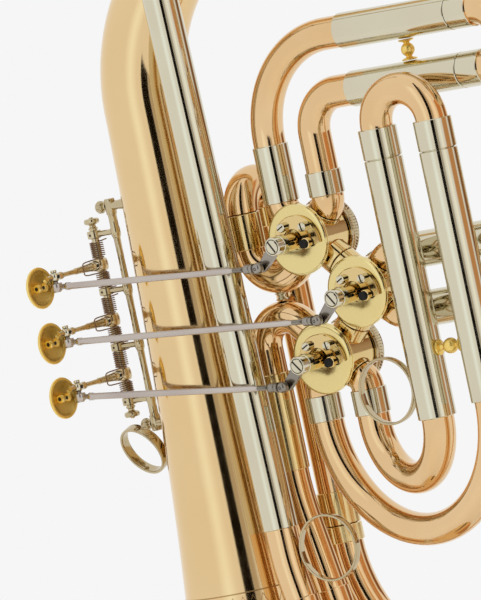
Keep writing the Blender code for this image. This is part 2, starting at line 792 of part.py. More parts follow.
def key_way():
    """The way a key's arm points at rest."""
    return Vector((-sin(radians(KEY_LEAN)), -cos(radians(KEY_LEAN)), 0))


def make_lever(number):
    """Hub on the axle, tapered arm, ball at the rod's pin and the post under the finger plate."""
    name = f"lever_{number}"
    axis = key_axis(number)
    way = key_way()
    bore = AXLE_R + GAP
    hub = [(bore, -2.6 * MM), (3.4 * MM, -2.6 * MM), (3.4 * MM, 2.6 * MM), (bore, 2.6 * MM)]
    lever = turned(name, hub, axis, Z, "nickel_silver", sides=10, closed=True, origin=axis)
    knee = axis + way * KEY_REACH
    outline = [(0, 2.7 * MM), (2.3 * MM, 2.7 * MM), (2.5 * MM, 7 * MM), (1.5 * MM, 15 * MM),
               (1.1 * MM, 16 * MM), (1.1 * MM, KEY_REACH - 2.2 * MM), (2.3 * MM, KEY_REACH - 1.6 * MM),
               (2.3 * MM, KEY_REACH + 1.6 * MM), (1.2 * MM, KEY_REACH + 2.2 * MM),
               (1.2 * MM, KEY_REACH + 4.6 * MM), (0, KEY_REACH + 4.6 * MM)]
    arm = turned(name + "_arm", outline, axis, way, None, sides=7)
    combine(lever, arm, "UNION")
    pin = bmesh.new()
    add_rod(pin, knee + Z * 2.6 * MM, knee - Z * (ROD_DROP + 1.9 * MM), 1.0 * MM, 8)
    combine(lever, make_object(name + "_pin", pin, None), "UNION")
    return lever


def plate_place(number):
    return key_axis(number) + key_way() * (KEY_REACH + 6.4 * MM) + mm(-4.0, 0, -3.0)


def make_finger_plate(number):
    """The domed finger plate with the turned boss on its under side."""
    outline = [(0, -1.5 * MM), (4.2 * MM, -1.2 * MM), (7.4 * MM, 0), (PLATE_R, 1.0 * MM),
               (PLATE_R, 1.7 * MM), (7.2 * MM, 1.8 * MM), (4.4 * MM, 0.9 * MM),
               (3.6 * MM, 2.1 * MM), (2.4 * MM, 2.1 * MM), (2.4 * MM, 0.9 * MM), (0, 0.9 * MM)]
    return turned(f"finger_plate_{number}", outline, plate_place(number), X, "gilt", sides=12,
                  origin=key_axis(number))


def rod_ends(number):
    left = key_axis(number) + key_way() * KEY_REACH - Z * ROD_DROP
    ball = valve_place(number) + port_way(ARM_REST) * ARM_LENGTH + Y * ROD_BALL_Y
    return left, ball


def make_rod(number):
    """The link from a key to its valve: eye, rod, threaded end, socket and ball stud."""
    name = f"rod_{number}"
    left, ball = rod_ends(number)
    way = (ball - left).normalized()
    length = (ball - left).length
    bore = 1.0 * MM + GAP
    eye = [(bore, -1.5 * MM), (2.5 * MM, -1.5 * MM), (2.5 * MM, 1.5 * MM), (bore, 1.5 * MM)]
    rod = turned(name, eye, left, Z, "rod_nickel", sides=8, closed=True, origin=left)
    outline = [(0, 1.9 * MM), (1.1 * MM, 1.9 * MM), (1.1 * MM, 7 * MM), (ROD_R, 8 * MM),
               (ROD_R, length - 13 * MM), (1.0 * MM, length - 12.4 * MM), (1.0 * MM, length - 6 * MM),
               (1.7 * MM, length - 5.6 * MM), (1.9 * MM, length - 2.4 * MM), (0, length - 1.0 * MM)]
    combine(rod, turned(name + "_bar", outline, left, way, None, sides=8), "UNION")
    stud = [(0, -2.4 * MM), (1.5 * MM, -2.1 * MM), (2.4 * MM, -0.9 * MM), (2.4 * MM, 0.6 * MM),
            (1.4 * MM, 1.5 * MM), (1.2 * MM, ARM_FRONT - ROD_BALL_Y - STUD_CLEAR),
            (0, ARM_FRONT - ROD_BALL_Y - STUD_CLEAR)]
    combine(rod, turned(name + "_stud", stud, ball, Y, None, sides=8), "UNION")
    return rod


def least_gap(points, apart):
    """The least distance between a line's points that are some steps apart along it."""
    return min((p - q).length for k, p in enumerate(points) for q in points[k + apart:])


def make_spring(number):
    """A double torsion spring: two coils on the axle and one loop over the key's arm."""
    axis = key_axis(number)
    way = key_way()
    side = Z.cross(way)
    per_turn = 8
    beside = 2.95 * MM + SPRING_WIRE_R + GAP

    def coil(sign):
        points = []
        count = SPRING_TURNS * per_turn
        for k in range(count + 1):
            angle = 2 * pi * k / per_turn
            height = sign * (SPRING_START + SPRING_PITCH * k / per_turn)
            spoke = cos(angle) * side + sin(angle) * way
            points.append(axis + SPRING_COIL_R * spoke + Z * height)
        return points

    upper = coil(1)
    lower = coil(-1)
    reach_up = [axis + side * beside + way * (SPRING_HOOK - 2 * MM) + Z * (SPRING_START - 0.6 * MM),
                axis + side * beside + way * SPRING_HOOK + Z * 2.2 * MM]
    reach_down = [Vector((p.x, p.y, 2 * axis.z - p.z)) for p in reach_up]
    tail_up = [upper[-1] + way * -3.6 * MM + Z * 0.3 * MM]
    tail_down = [lower[-1] + way * -3.6 * MM - Z * 0.3 * MM]
    points = tail_up + upper[::-1] + reach_up + reach_down[::-1] + lower + tail_down
    gap = least_gap(points, per_turn // 2) - 2 * SPRING_WIRE_R
    print(f"key_spring_{number}: least gap to itself {gap / MM:.2f} mm")
    curve = bpy.data.curves.new(f"key_spring_{number}", "CURVE")
    curve.dimensions = "3D"
    curve.bevel_depth = SPRING_WIRE_R
    curve.bevel_resolution = 1
    curve.use_fill_caps = True
    line = curve.splines.new("POLY")
    line.points.add(len(points) - 1)
    for point, place in zip(line.points, points):
        point.co = (*(place - axis), 1.0)
    spring = bpy.data.objects.new(f"key_spring_{number}", curve)
    spring.location = axis
    bpy.context.scene.collection.objects.link(spring)
    curve.materials.append(material(f"key_spring_{number}", "spring_bronze"))
    return spring


def make_axle():
    """The long pin that the keys swing on, with a turned knob at each end."""
    top = POST_HEIGHTS[0] + POST_HALF + GAP / 3
    low = POST_HEIGHTS[-1] - POST_HALF - GAP / 3
    knob = [(AXLE_R, GAP), (3.0 * MM, GAP), (3.2 * MM, 1.4 * MM), (1.5 * MM, 1.9 * MM),
            (1.5 * MM, 2.7 * MM), (2.5 * MM, 3.6 * MM), (1.9 * MM, 4.9 * MM), (0, 5.3 * MM)]
    outline = [(r, low - s) for r, s in reversed(knob)] + [(r, top + s) for r, s in knob]
    return turned("key_axle", outline, VALVE_1 + AXLE, Z, "nickel_silver", sides=8)


def rail_axis():
    return VALVE_1 + Vector((RAIL_X, AXLE.y, 0))


def foot_heights():
    return POST_HEIGHTS[0] + FOOT_BEYOND_POST, POST_HEIGHTS[-1] - FOOT_BEYOND_POST


def make_rail():
    """The bar beside the axle, its four posts, and the two feet on the bell's stem."""
    axis = rail_axis()
    upper, lower = foot_heights()
    outline = [(0, lower - RAIL_END), (RAIL_R, lower - RAIL_END)]
    for k in (3, 2, 1, 0):
        outline.append((RAIL_R, POST_HEIGHTS[k]))
        if k:
            outline.append((RAIL_WAIST_R, (POST_HEIGHTS[k] + POST_HEIGHTS[k - 1]) / 2))
    outline += [(RAIL_R, upper + RAIL_END), (0, upper + RAIL_END)]
    rail = turned("key_rail", outline, axis, Z, "nickel_silver", sides=8)
    bore = AXLE_R + GAP * 0.5
    rings = bmesh.new()
    arms = bmesh.new()
    for post in POST_HEIGHTS:
        middle = VALVE_1 + AXLE + Z * post
        first, second = across(Z)
        loops = [ring(rings, middle + Z * s, first, second, r, 8)
                 for r, s in ((bore, -POST_HALF), (POST_R, -POST_HALF),
                              (POST_R, POST_HALF), (bore, POST_HALF))]
        for k in range(4):
            skin(rings, loops[k], loops[(k + 1) % 4])
        add_rod(arms, middle + X * (POST_R + bore) / 2, Vector((axis.x, axis.y, middle.z)), POST_ARM_R, 6)
    combine(rail, make_object("key_rail_arms", arms, None), "UNION")
    combine(rail, make_object("key_rail_rings", rings, None), "UNION")
    feet = bmesh.new()
    for height in foot_heights():
        level = VALVE_1.z + height
        stem = bell_radius(level)
        start = Vector((axis.x, axis.y, level))
        reach = abs(start.x) - stem - 2 * GAP
        add_rod(feet, start, start + X * reach, RAIL_FOOT_R, 8, radius_end=RAIL_FOOT_END_R)
    combine(rail, make_object("key_rail_feet", feet, None), "UNION")
    return rail


def make_thumbscrews():
    """Two knurled screws that clamp the rail to its feet, heads towards -X."""
    for name, height in zip(("thumbscrew_upper", "thumbscrew_lower"), foot_heights()):
        place = rail_axis() + Z * height - X * (RAIL_R + GAP)
        outline = [(0, 0), (1.6 * MM, 0), (1.6 * MM, 1.2 * MM), (3.1 * MM, 1.6 * MM),
                   (3.1 * MM, 4.4 * MM), (2.4 * MM, 5.0 * MM), (0, 5.0 * MM)]
        turned(name, outline, place, -X, "nickel_silver", sides=8)


# Braces and rings

def make_ball_brace(name, start, end, finish):
    """A turned ball on two short posts with a round flange at each end."""
    length = (end - start).length
    half = length / 2
    ball = min(3.2 * MM, half * 0.62)
    outline = [(0, GAP), (3.2 * MM, GAP), (2.6 * MM, 1.0 * MM), (1.3 * MM, 1.5 * MM)]
    rise = []
    for k in range(1, 5):
        angle = pi * k / 5
        rise.append((max(ball * sin(angle), 1.3 * MM), half - ball * cos(angle)))
    outline += rise
    outline += [(1.3 * MM, length - 1.5 * MM), (2.6 * MM, length - 1.0 * MM), (3.2 * MM, length - GAP),
                (0, length - GAP)]
    return turned(name, outline, start, end - start, finish, sides=8)


def make_braces():
    drop = BOW_TOP_1 + BOW_OUT_1
    upper = spot(67.0, 10.8, drop / MM - SLEEVE_R / MM)
    lower = spot(67.0, 10.8, (drop - 2 * LEG) / MM + SLEEVE_R / MM)
    make_ball_brace("slide_1_brace", lower, upper, "gilt")
    near = VALVE_1 + SLIDE_3_NEAR + mm(0, 0, -50.8)
    make_ball_brace("slide_3_brace", near + X * WIDE_R, near + X * (SLIDE_3_WIDTH - WIDE_R), "gilt")


def make_ring(name, middle, axis, radius, width, thick, finish="nickel_silver"):
    """A finger ring: a flat band about an axis, with rounded edges."""
    half = width / 2
    outline = [(radius - thick, -half), (radius - thick, half), (radius, half), (radius, -half)]
    return turned(name, outline, middle, axis, finish, sides=16, closed=True)


def make_rings():
    level = VALVE_1.z - THUMB_RING_DROP
    side = Vector((cos(radians(THUMB_RING_SIDE)), sin(radians(THUMB_RING_SIDE)), 0))
    out = side * (bell_radius(level) + THUMB_RING_OUT)
    make_ring("thumb_ring", out + Z * level, Vector((0.2, 0.88, 0.42)), THUMB_RING_R, 4.2 * MM, 1.3 * MM)
    ring_r = FINGER_RING_R
    middle = VALVE_1 + SLIDE_3_NEAR - X * (WIDE_R + GAP + ring_r) + mm(0, 0, -64.9)
    make_ring("slide_3_ring", middle, Y, ring_r, 3.4 * MM, 1.1 * MM)
    side = Vector((cos(radians(5)), sin(radians(5)), 0))
    at = leadpipe_place(-123.4 * MM)
    middle = at + side * (TUBE_R + 0.5 * MM + ring_r)
    make_ring("little_finger_ring", middle, side.cross(Z), ring_r, 3.4 * MM, 1.1 * MM)


def make_bow_brace():
    """The small waisted brace between the two bows at the left of the valves."""
    low = spot(-22.0, 10.8, -23.4)
    outline = [(0, 0), (2.6 * MM, 0), (1.4 * MM, 1.0 * MM), (1.4 * MM, 1.8 * MM), (2.6 * MM, 2.7 * MM),
               (0, 2.7 * MM)]
    return turned("bow_brace", outline, low, Z, "nickel_silver")


def make_leadpipe_brace():
    """The short post that joins the leadpipe to the bell's bow where they come nearest."""
    at = VALVE_1 + LEADPIPE_AT
    choices = []
    tries = 120
    for k in range(tries // 2):
        place, _, radius = bell_bow_station(pi * k / tries)
        foot = at + LEADPIPE_LEAN * (place - at).dot(LEADPIPE_LEAN)
        choices.append(((place - foot).length - radius, foot, place))
    apart, foot, place = min(choices, key=lambda choice: choice[0])
    way = (place - foot).normalized()
    length = max(apart - SLEEVE_R - 2 * GAP, 2 * MM)
    outline = [(0, 0), (3.2 * MM, 0), (2.0 * MM, 0.9 * MM), (2.0 * MM, length - 0.9 * MM),
               (3.2 * MM, length), (0, length)]
    return turned("leadpipe_brace", outline, foot + way * (SLEEVE_R + GAP), way, "nickel_silver", sides=8)


def build():
    clear_scene()
    make_bell()
    make_bell_bow()
    make_return_tube()
    make_branch()
    make_valves()
    make_slide_1()
    make_slide_2()
    make_slide_3()
    make_receiver()
    make_mouthpiece()
    make_tuning_slide()
    for number in (1, 2, 3):
        make_lever(number)
        make_finger_plate(number)
        make_rod(number)
        make_spring(number)
    make_axle()
    make_rail()
    make_thumbscrews()
    make_braces()
    make_rings()
    make_bow_brace()
    make_leadpipe_brace()


build()
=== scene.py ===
"""Looks of a bass trumpet with three rotary valves: refined pieces, finishes, light and camera.

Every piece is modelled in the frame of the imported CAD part: +Z up, the bell's rim on z = 0.
The pieces are worked out in millimetres and scaled to metres when they are finished.
Stage, lights and camera are in metres.
"""

import json
from math import atan2, copysign, cos, exp, pi, radians, sin

import bmesh
import bpy
from mathutils import Matrix, Vector

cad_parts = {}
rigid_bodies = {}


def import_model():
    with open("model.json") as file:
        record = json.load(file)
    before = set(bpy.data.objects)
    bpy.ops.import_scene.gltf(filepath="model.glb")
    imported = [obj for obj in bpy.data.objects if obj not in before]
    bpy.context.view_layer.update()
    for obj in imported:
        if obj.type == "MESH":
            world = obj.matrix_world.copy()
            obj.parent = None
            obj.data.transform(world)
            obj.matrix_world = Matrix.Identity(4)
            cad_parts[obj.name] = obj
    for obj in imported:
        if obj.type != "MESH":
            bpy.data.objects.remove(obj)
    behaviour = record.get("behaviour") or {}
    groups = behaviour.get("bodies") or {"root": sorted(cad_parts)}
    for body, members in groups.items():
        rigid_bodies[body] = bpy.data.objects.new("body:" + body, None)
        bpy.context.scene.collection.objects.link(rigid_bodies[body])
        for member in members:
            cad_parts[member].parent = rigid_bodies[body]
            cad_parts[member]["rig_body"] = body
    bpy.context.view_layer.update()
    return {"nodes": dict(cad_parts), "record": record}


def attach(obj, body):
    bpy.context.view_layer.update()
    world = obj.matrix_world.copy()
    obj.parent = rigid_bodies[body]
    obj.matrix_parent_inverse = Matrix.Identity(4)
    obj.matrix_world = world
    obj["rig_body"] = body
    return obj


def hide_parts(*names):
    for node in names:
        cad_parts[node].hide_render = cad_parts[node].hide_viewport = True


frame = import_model()
SLOTS = {part["node"]: part["material_slot"] for part in frame["record"]["subparts"]}

# Pieces are named after their node, apart from this one
NAMES = {"branch_tube": "branch_crook_tube"}

METRES = 0.001
X = Vector((1, 0, 0))
Y = Vector((0, 1, 0))
Z = Vector((0, 0, 1))


def mm(x, y, z):
    """A place or a direction, in millimetres."""
    return Vector((x, y, z))


# Sizes shared with the CAD part, in millimetres and degrees

GAP = 0.3
VALVE_1 = mm(70.3, -12.0, 290.0)
TUBE_R = 6.6
TUBE_BORE = 6.0
SLEEVE_R = 7.3
SLEEVE_BORE = 6.65
INNER_R = 6.2
INNER_BORE = 5.7
WIDE_R = 7.8
BELL_RIM_R = 90.0
BELL_STEM_R = 16.2
BELL_FLARE_LENGTH = 110.0
BELL_LIP = 33.0
BELL_LIP_LENGTH = 28.0
BELL_WALL = 1.0
BELL_LENGTH = 346.0
BELL_BOW_RISE = 80.0
BELL_BOW_END_R = 10.6
BELL_BOW_START = 7.0
RETURN_PLACE = mm(100.0, 66.0, 50.0)
RETURN_LOW = -118.8
FERRULE_RETURN = 8.0
BRANCH_R = 7.2
BRANCH_PLACE = mm(-33.0, 32.4, 0.0)
VALVE_STEP = 24.3
COVER_R = 14.5
COVER_THICK = 2.6
CASING_R = 12.6
CASING_BORE = 10.2
CASING_LENGTH = 15.8
PORT_DEPTH = 10.8
STUB_R = 6.9
STUB_REACH = 13.0
ROTOR_R = 9.9
SPINDLE_R = 2.0
HUB_R = 3.4
COLLAR_R = 3.8
SCREW_R = 2.9
HUB_FRONT = -16.6
ARM_BACK = -12.6
ARM_FRONT = -14.8
ARM_LENGTH = 11.0
ARM_REST = 222.0
STUD_CLEAR = 0.6
PLATE_OUT = 11.2
PLATE_SHIFT = mm(1.5, 0.0, -1.0)
PLATE_IN = 4.6
PLATE_THICK = 1.8
AXLE = mm(-110.0, 10.0, 0.0)
AXLE_R = 1.6
KEY_HEIGHTS = (2.3, -20.6, -43.1)
POST_HEIGHTS = (14.7, -8.8, -31.8, -54.3)
KEY_REACH = 28.5
KEY_WAY = 267.0
ROD_DROP = 4.1
ROD_BALL_Y = -17.4
RAIL_X = -98.7
FOOT_BEYOND_POST = 10.5
SPRING_TURNS = 8
SPRING_WIRE_R = 0.27
SPRING_COIL_R = 2.62
SPRING_PITCH = 0.82
SPRING_START = 3.0
SPRING_HOOK = 14.5
BRANCH_BEND_R = 13.15
BRANCH_CROOK = 13.2
LEG = 11.8
ELBOW_R = 8.3
FERRULE = 10.5
BOW_TOP_1 = 39.8
BOW_OUT_1 = 39.2
SLEEVE_FROM_1 = 36.3
SLEEVE_TO_1 = 93.0
SLIDE_2_LEAN = 9.0
SLEEVE_2 = 34.0
SLIDE_3_NEAR = mm(56.0, -5.0, 0.0)
SLIDE_3_WIDTH = 28.0
OUTER_BOW_Z = -68.9
INNER_BOW_Z = -78.2
SLEEVE_TOP_3 = 27.1
LEADPIPE_AT = mm(-35.6, -6.3, 0.0)
LEADPIPE_LEAN = Vector((0.029, -0.010, -1.0)).normalized()
LEADPIPE_TOP = 150.0
LEADPIPE_SLEEVE_END = -113.0
TUNING_WAY = -80.0
TUNING_SLEEVE = 30.0
TUNING_TOP = -142.0
TUNING_BEND_R = 90.0
RETURN_BEND_R = 11.9
RETURN_LEG_X = -35.0
RETURN_BAND_END = -92.0
RETURN_WIDE_BEND_R = 110.0
INSERTED = {"slide_1": 44.0, "slide_2": 27.0, "slide_3": 52.0, "tuning_slide": 24.0}
MOUTHPIECE_LENGTH = 84.0

# Chamfer on every stepped edge of a tube
EDGE = 0.25
# Places nearer than this are one place
SAME = 0.001
# How far an outline is lifted while it is joined to another in its plane
LIFT = 5.0


def spot(x, y, z):
    """A place measured from the middle of the first valve's cover."""
    return VALVE_1 + mm(x, y, z)


# Node materials

def feed(tree, node, values):
    """Give a node's inputs plain values, or links from other sockets."""
    for label, value in values.items():
        if isinstance(value, bpy.types.NodeSocket):
            tree.links.new(value, node.inputs[label])
        else:
            node.inputs[label].default_value = value


def mix_colour(tree, mask, first, second):
    node = tree.nodes.new("ShaderNodeMix")
    node.data_type = "RGBA"
    feed(tree, node, {0: mask, 6: first, 7: second})
    return node.outputs[2]


def maths(tree, operation, first, second=0.0, clamp=False):
    node = tree.nodes.new("ShaderNodeMath")
    node.operation = operation
    node.use_clamp = clamp
    feed(tree, node, {0: first, 1: second})
    return node.outputs[0]


def spread(tree, value, low, high, to_low, to_high):
    """Map a span of values onto another."""
    node = tree.nodes.new("ShaderNodeMapRange")
    feed(tree, node, {"Value": value, "From Min": low, "From Max": high, "To Min": to_low, "To Max": to_high})
    return node.outputs["Result"]


def noise(tree, where, scale, detail=3.0, stretch=None):
    if stretch:
        mapping = tree.nodes.new("ShaderNodeMapping")
        feed(tree, mapping, {"Vector": where, "Scale": stretch})
        where = mapping.outputs["Vector"]
    node = tree.nodes.new("ShaderNodeTexNoise")
    feed(tree, node, {"Vector": where, "Scale": scale, "Detail": detail})
    return node.outputs["Fac"]


def raised(tree, height, strength, distance):
    node = tree.nodes.new("ShaderNodeBump")
    feed(tree, node, {"Height": height, "Strength": strength, "Distance": distance})
    return node.outputs["Normal"]


def coordinates(tree, kind="Object"):
    return tree.nodes.new("ShaderNodeTexCoord").outputs[kind]


def lacquer_group():
    """Handling marks on lacquered brass: slow drift of colour, haze, and fine polishing lines."""
    group = bpy.data.node_groups.new("lacquer_wear", "ShaderNodeTree")
    for label, way, kind in (("Colour", "INPUT", "NodeSocketColor"),
            ("Deep colour", "INPUT", "NodeSocketColor"), ("Gloss", "INPUT", "NodeSocketFloat"),
            ("Relief", "INPUT", "NodeSocketFloat"), ("Colour", "OUTPUT", "NodeSocketColor"),
            ("Roughness", "OUTPUT", "NodeSocketFloat"), ("Normal", "OUTPUT", "NodeSocketVector")):
        group.interface.new_socket(label, in_out=way, socket_type=kind)
    source = group.nodes.new("NodeGroupInput").outputs
    where = coordinates(group)
    drift = noise(group, where, 28.0, 2.0)
    haze = noise(group, where, 140.0, 4.0)
    lines = noise(group, where, 260.0, 5.0, (1.0, 1.0, 0.06))
    hazy = maths(group, "ADD", source["Gloss"], spread(group, haze, 0.3, 0.75, 0.0, 0.05))
    feed(group, group.nodes.new("NodeGroupOutput"), {"Colour": mix_colour(group,
        spread(group, drift, 0.35, 0.7, 0.0, 1.0), source["Colour"], source["Deep colour"]),
        "Roughness": maths(group, "ADD", hazy, spread(group, lines, 0.4, 0.8, 0.0, 0.03)),
        "Normal": raised(group, lines, source["Relief"], 0.00002)})
    return group


LACQUER = lacquer_group()


def base_material(name, metallic, coat=0.0, specular=0.5):
    made = bpy.data.materials.new(name)
    made.use_nodes = True
    shader = made.node_tree.nodes["Principled BSDF"]
    feed(made.node_tree, shader, {"Metallic": metallic, "Coat Weight": coat, "Coat Roughness": 0.05,
        "Specular IOR Level": specular})
    return made, made.node_tree, shader


def brass(name, colour, deep, gloss, relief=0.05, coat=0.12):
    """A polished metal under clear lacquer."""
    made, tree, shader = base_material(name, 1.0, coat)
    worn = tree.nodes.new("ShaderNodeGroup")
    worn.node_tree = LACQUER
    feed(tree, worn, {"Colour": (*colour, 1), "Deep colour": (*deep, 1), "Gloss": gloss, "Relief": relief})
    feed(tree, shader, {"Base Color": worn.outputs["Colour"], "Roughness": worn.outputs["Roughness"],
        "Normal": worn.outputs["Normal"]})
    return made


def matte(name, colour, second, roughness, scale, metallic=0.0):
    """A dull surface with grain: rubber, springs, and the near-black painted shade of slots and holes."""
    made, tree, shader = base_material(name, metallic, specular=0.25)
    grain = noise(tree, coordinates(tree), scale, 5.0)
    feed(tree, shader, {"Base Color": mix_colour(tree, grain, (*colour, 1), (*second, 1)),
        "Roughness": spread(tree, grain, 0.2, 0.8, roughness, roughness + 0.15),
        "Normal": raised(tree, grain, 0.3, 0.00004)})
    return made


# The border round the bell's stem, in metres as the node coordinates are
BORDER_LINES = (0.1462, 0.1538)
HALF_LINE = 0.00028
ZIGZAG_FOOT = 0.1477
ZIGZAG_RISE = 0.0046
ZIGZAG_TEETH = 40
ENGRAVED = (0.44, 0.27, 0.11, 1)


def engraved_bell():
    """The bell's finish with a plain border of two turned lines and a zigzag round its stem."""
    made = brass("bell_rose_brass", (0.80, 0.585, 0.31), (0.78, 0.555, 0.28), 0.06)
    tree = made.node_tree
    shader = tree.nodes["Principled BSDF"]
    parts = tree.nodes.new("ShaderNodeSeparateXYZ")
    feed(tree, parts, {0: coordinates(tree)})
    angle = maths(tree, "ARCTAN2", parts.outputs["Y"], parts.outputs["X"])
    teeth = maths(tree, "PINGPONG", maths(tree, "MULTIPLY", angle, ZIGZAG_TEETH / pi), 1.0)
    zigzag = maths(tree, "ADD", maths(tree, "MULTIPLY", teeth, ZIGZAG_RISE), ZIGZAG_FOOT)
    mask = 0.0
    for level in (zigzag, *BORDER_LINES):
        away = maths(tree, "ABSOLUTE", maths(tree, "SUBTRACT", parts.outputs["Z"], level))
        mask = maths(tree, "ADD", mask, maths(tree, "LESS_THAN", away, HALF_LINE), True)
    plain, rough = (shader.inputs[label].links[0].from_socket for label in ("Base Color", "Roughness"))
    feed(tree, shader, {"Base Color": mix_colour(tree, mask, plain, ENGRAVED),
        "Roughness": maths(tree, "ADD", rough, maths(tree, "MULTIPLY", mask, 0.2))})
    return made


FINISHES = {
    "rose": brass("rose_brass_lacquer", (0.80, 0.555, 0.30), (0.77, 0.51, 0.255), 0.06),
    "bell": engraved_bell(),
    "gold": brass("gold_brass_lacquer", (0.76, 0.58, 0.28), (0.72, 0.53, 0.23), 0.07),
    "yellow": brass("yellow_brass_spun", (0.80, 0.66, 0.30), (0.77, 0.61, 0.26), 0.14, 0.12),
    "silver": brass("nickel_silver_polished", (0.69, 0.64, 0.49), (0.66, 0.60, 0.45), 0.05, coat=0.0),
    "gilt": brass("gilt_bright", (0.90, 0.67, 0.21), (0.84, 0.57, 0.14), 0.3),
    "satin": brass("rod_satin_nickel", (0.56, 0.50, 0.45), (0.48, 0.41, 0.37), 0.2, 0.2, 0.0),
    "lever": brass("lever_gold_nickel", (0.62, 0.50, 0.31), (0.52, 0.37, 0.18), 0.12, 0.1, 0.0),
    "rail": brass("rail_aged_nickel", (0.57, 0.48, 0.31), (0.48, 0.38, 0.22), 0.05, 0.1, 0.0),
    # Steel darkened past the metal's own tone: partly its real dark colour, partly painted shade on stop
    # arms, rod ends and studs
    "steel": brass("steel_with_painted_shade", (0.34, 0.31, 0.27), (0.25, 0.22, 0.18), 0.16, 0.15, 0.0),
    "inside": brass("bore_brass", (0.55, 0.34, 0.16), (0.40, 0.22, 0.09), 0.22, 0.2, 0.0),
    "spring": matte("spring_bronze_wire", (0.30, 0.185, 0.11), (0.17, 0.095, 0.05), 0.22, 900.0, 1.0),
    "rubber": matte("rubber_bumper", (0.006, 0.006, 0.006), (0.014, 0.014, 0.013), 0.6, 1500.0),
    # Near-black painted shade for screw slots, holes and dimples, which are not cut
    "slot": matte("screw_slot_shade", (0.02, 0.017, 0.012), (0.05, 0.04, 0.03), 0.5, 700.0, 0.4),
}


# Meshes

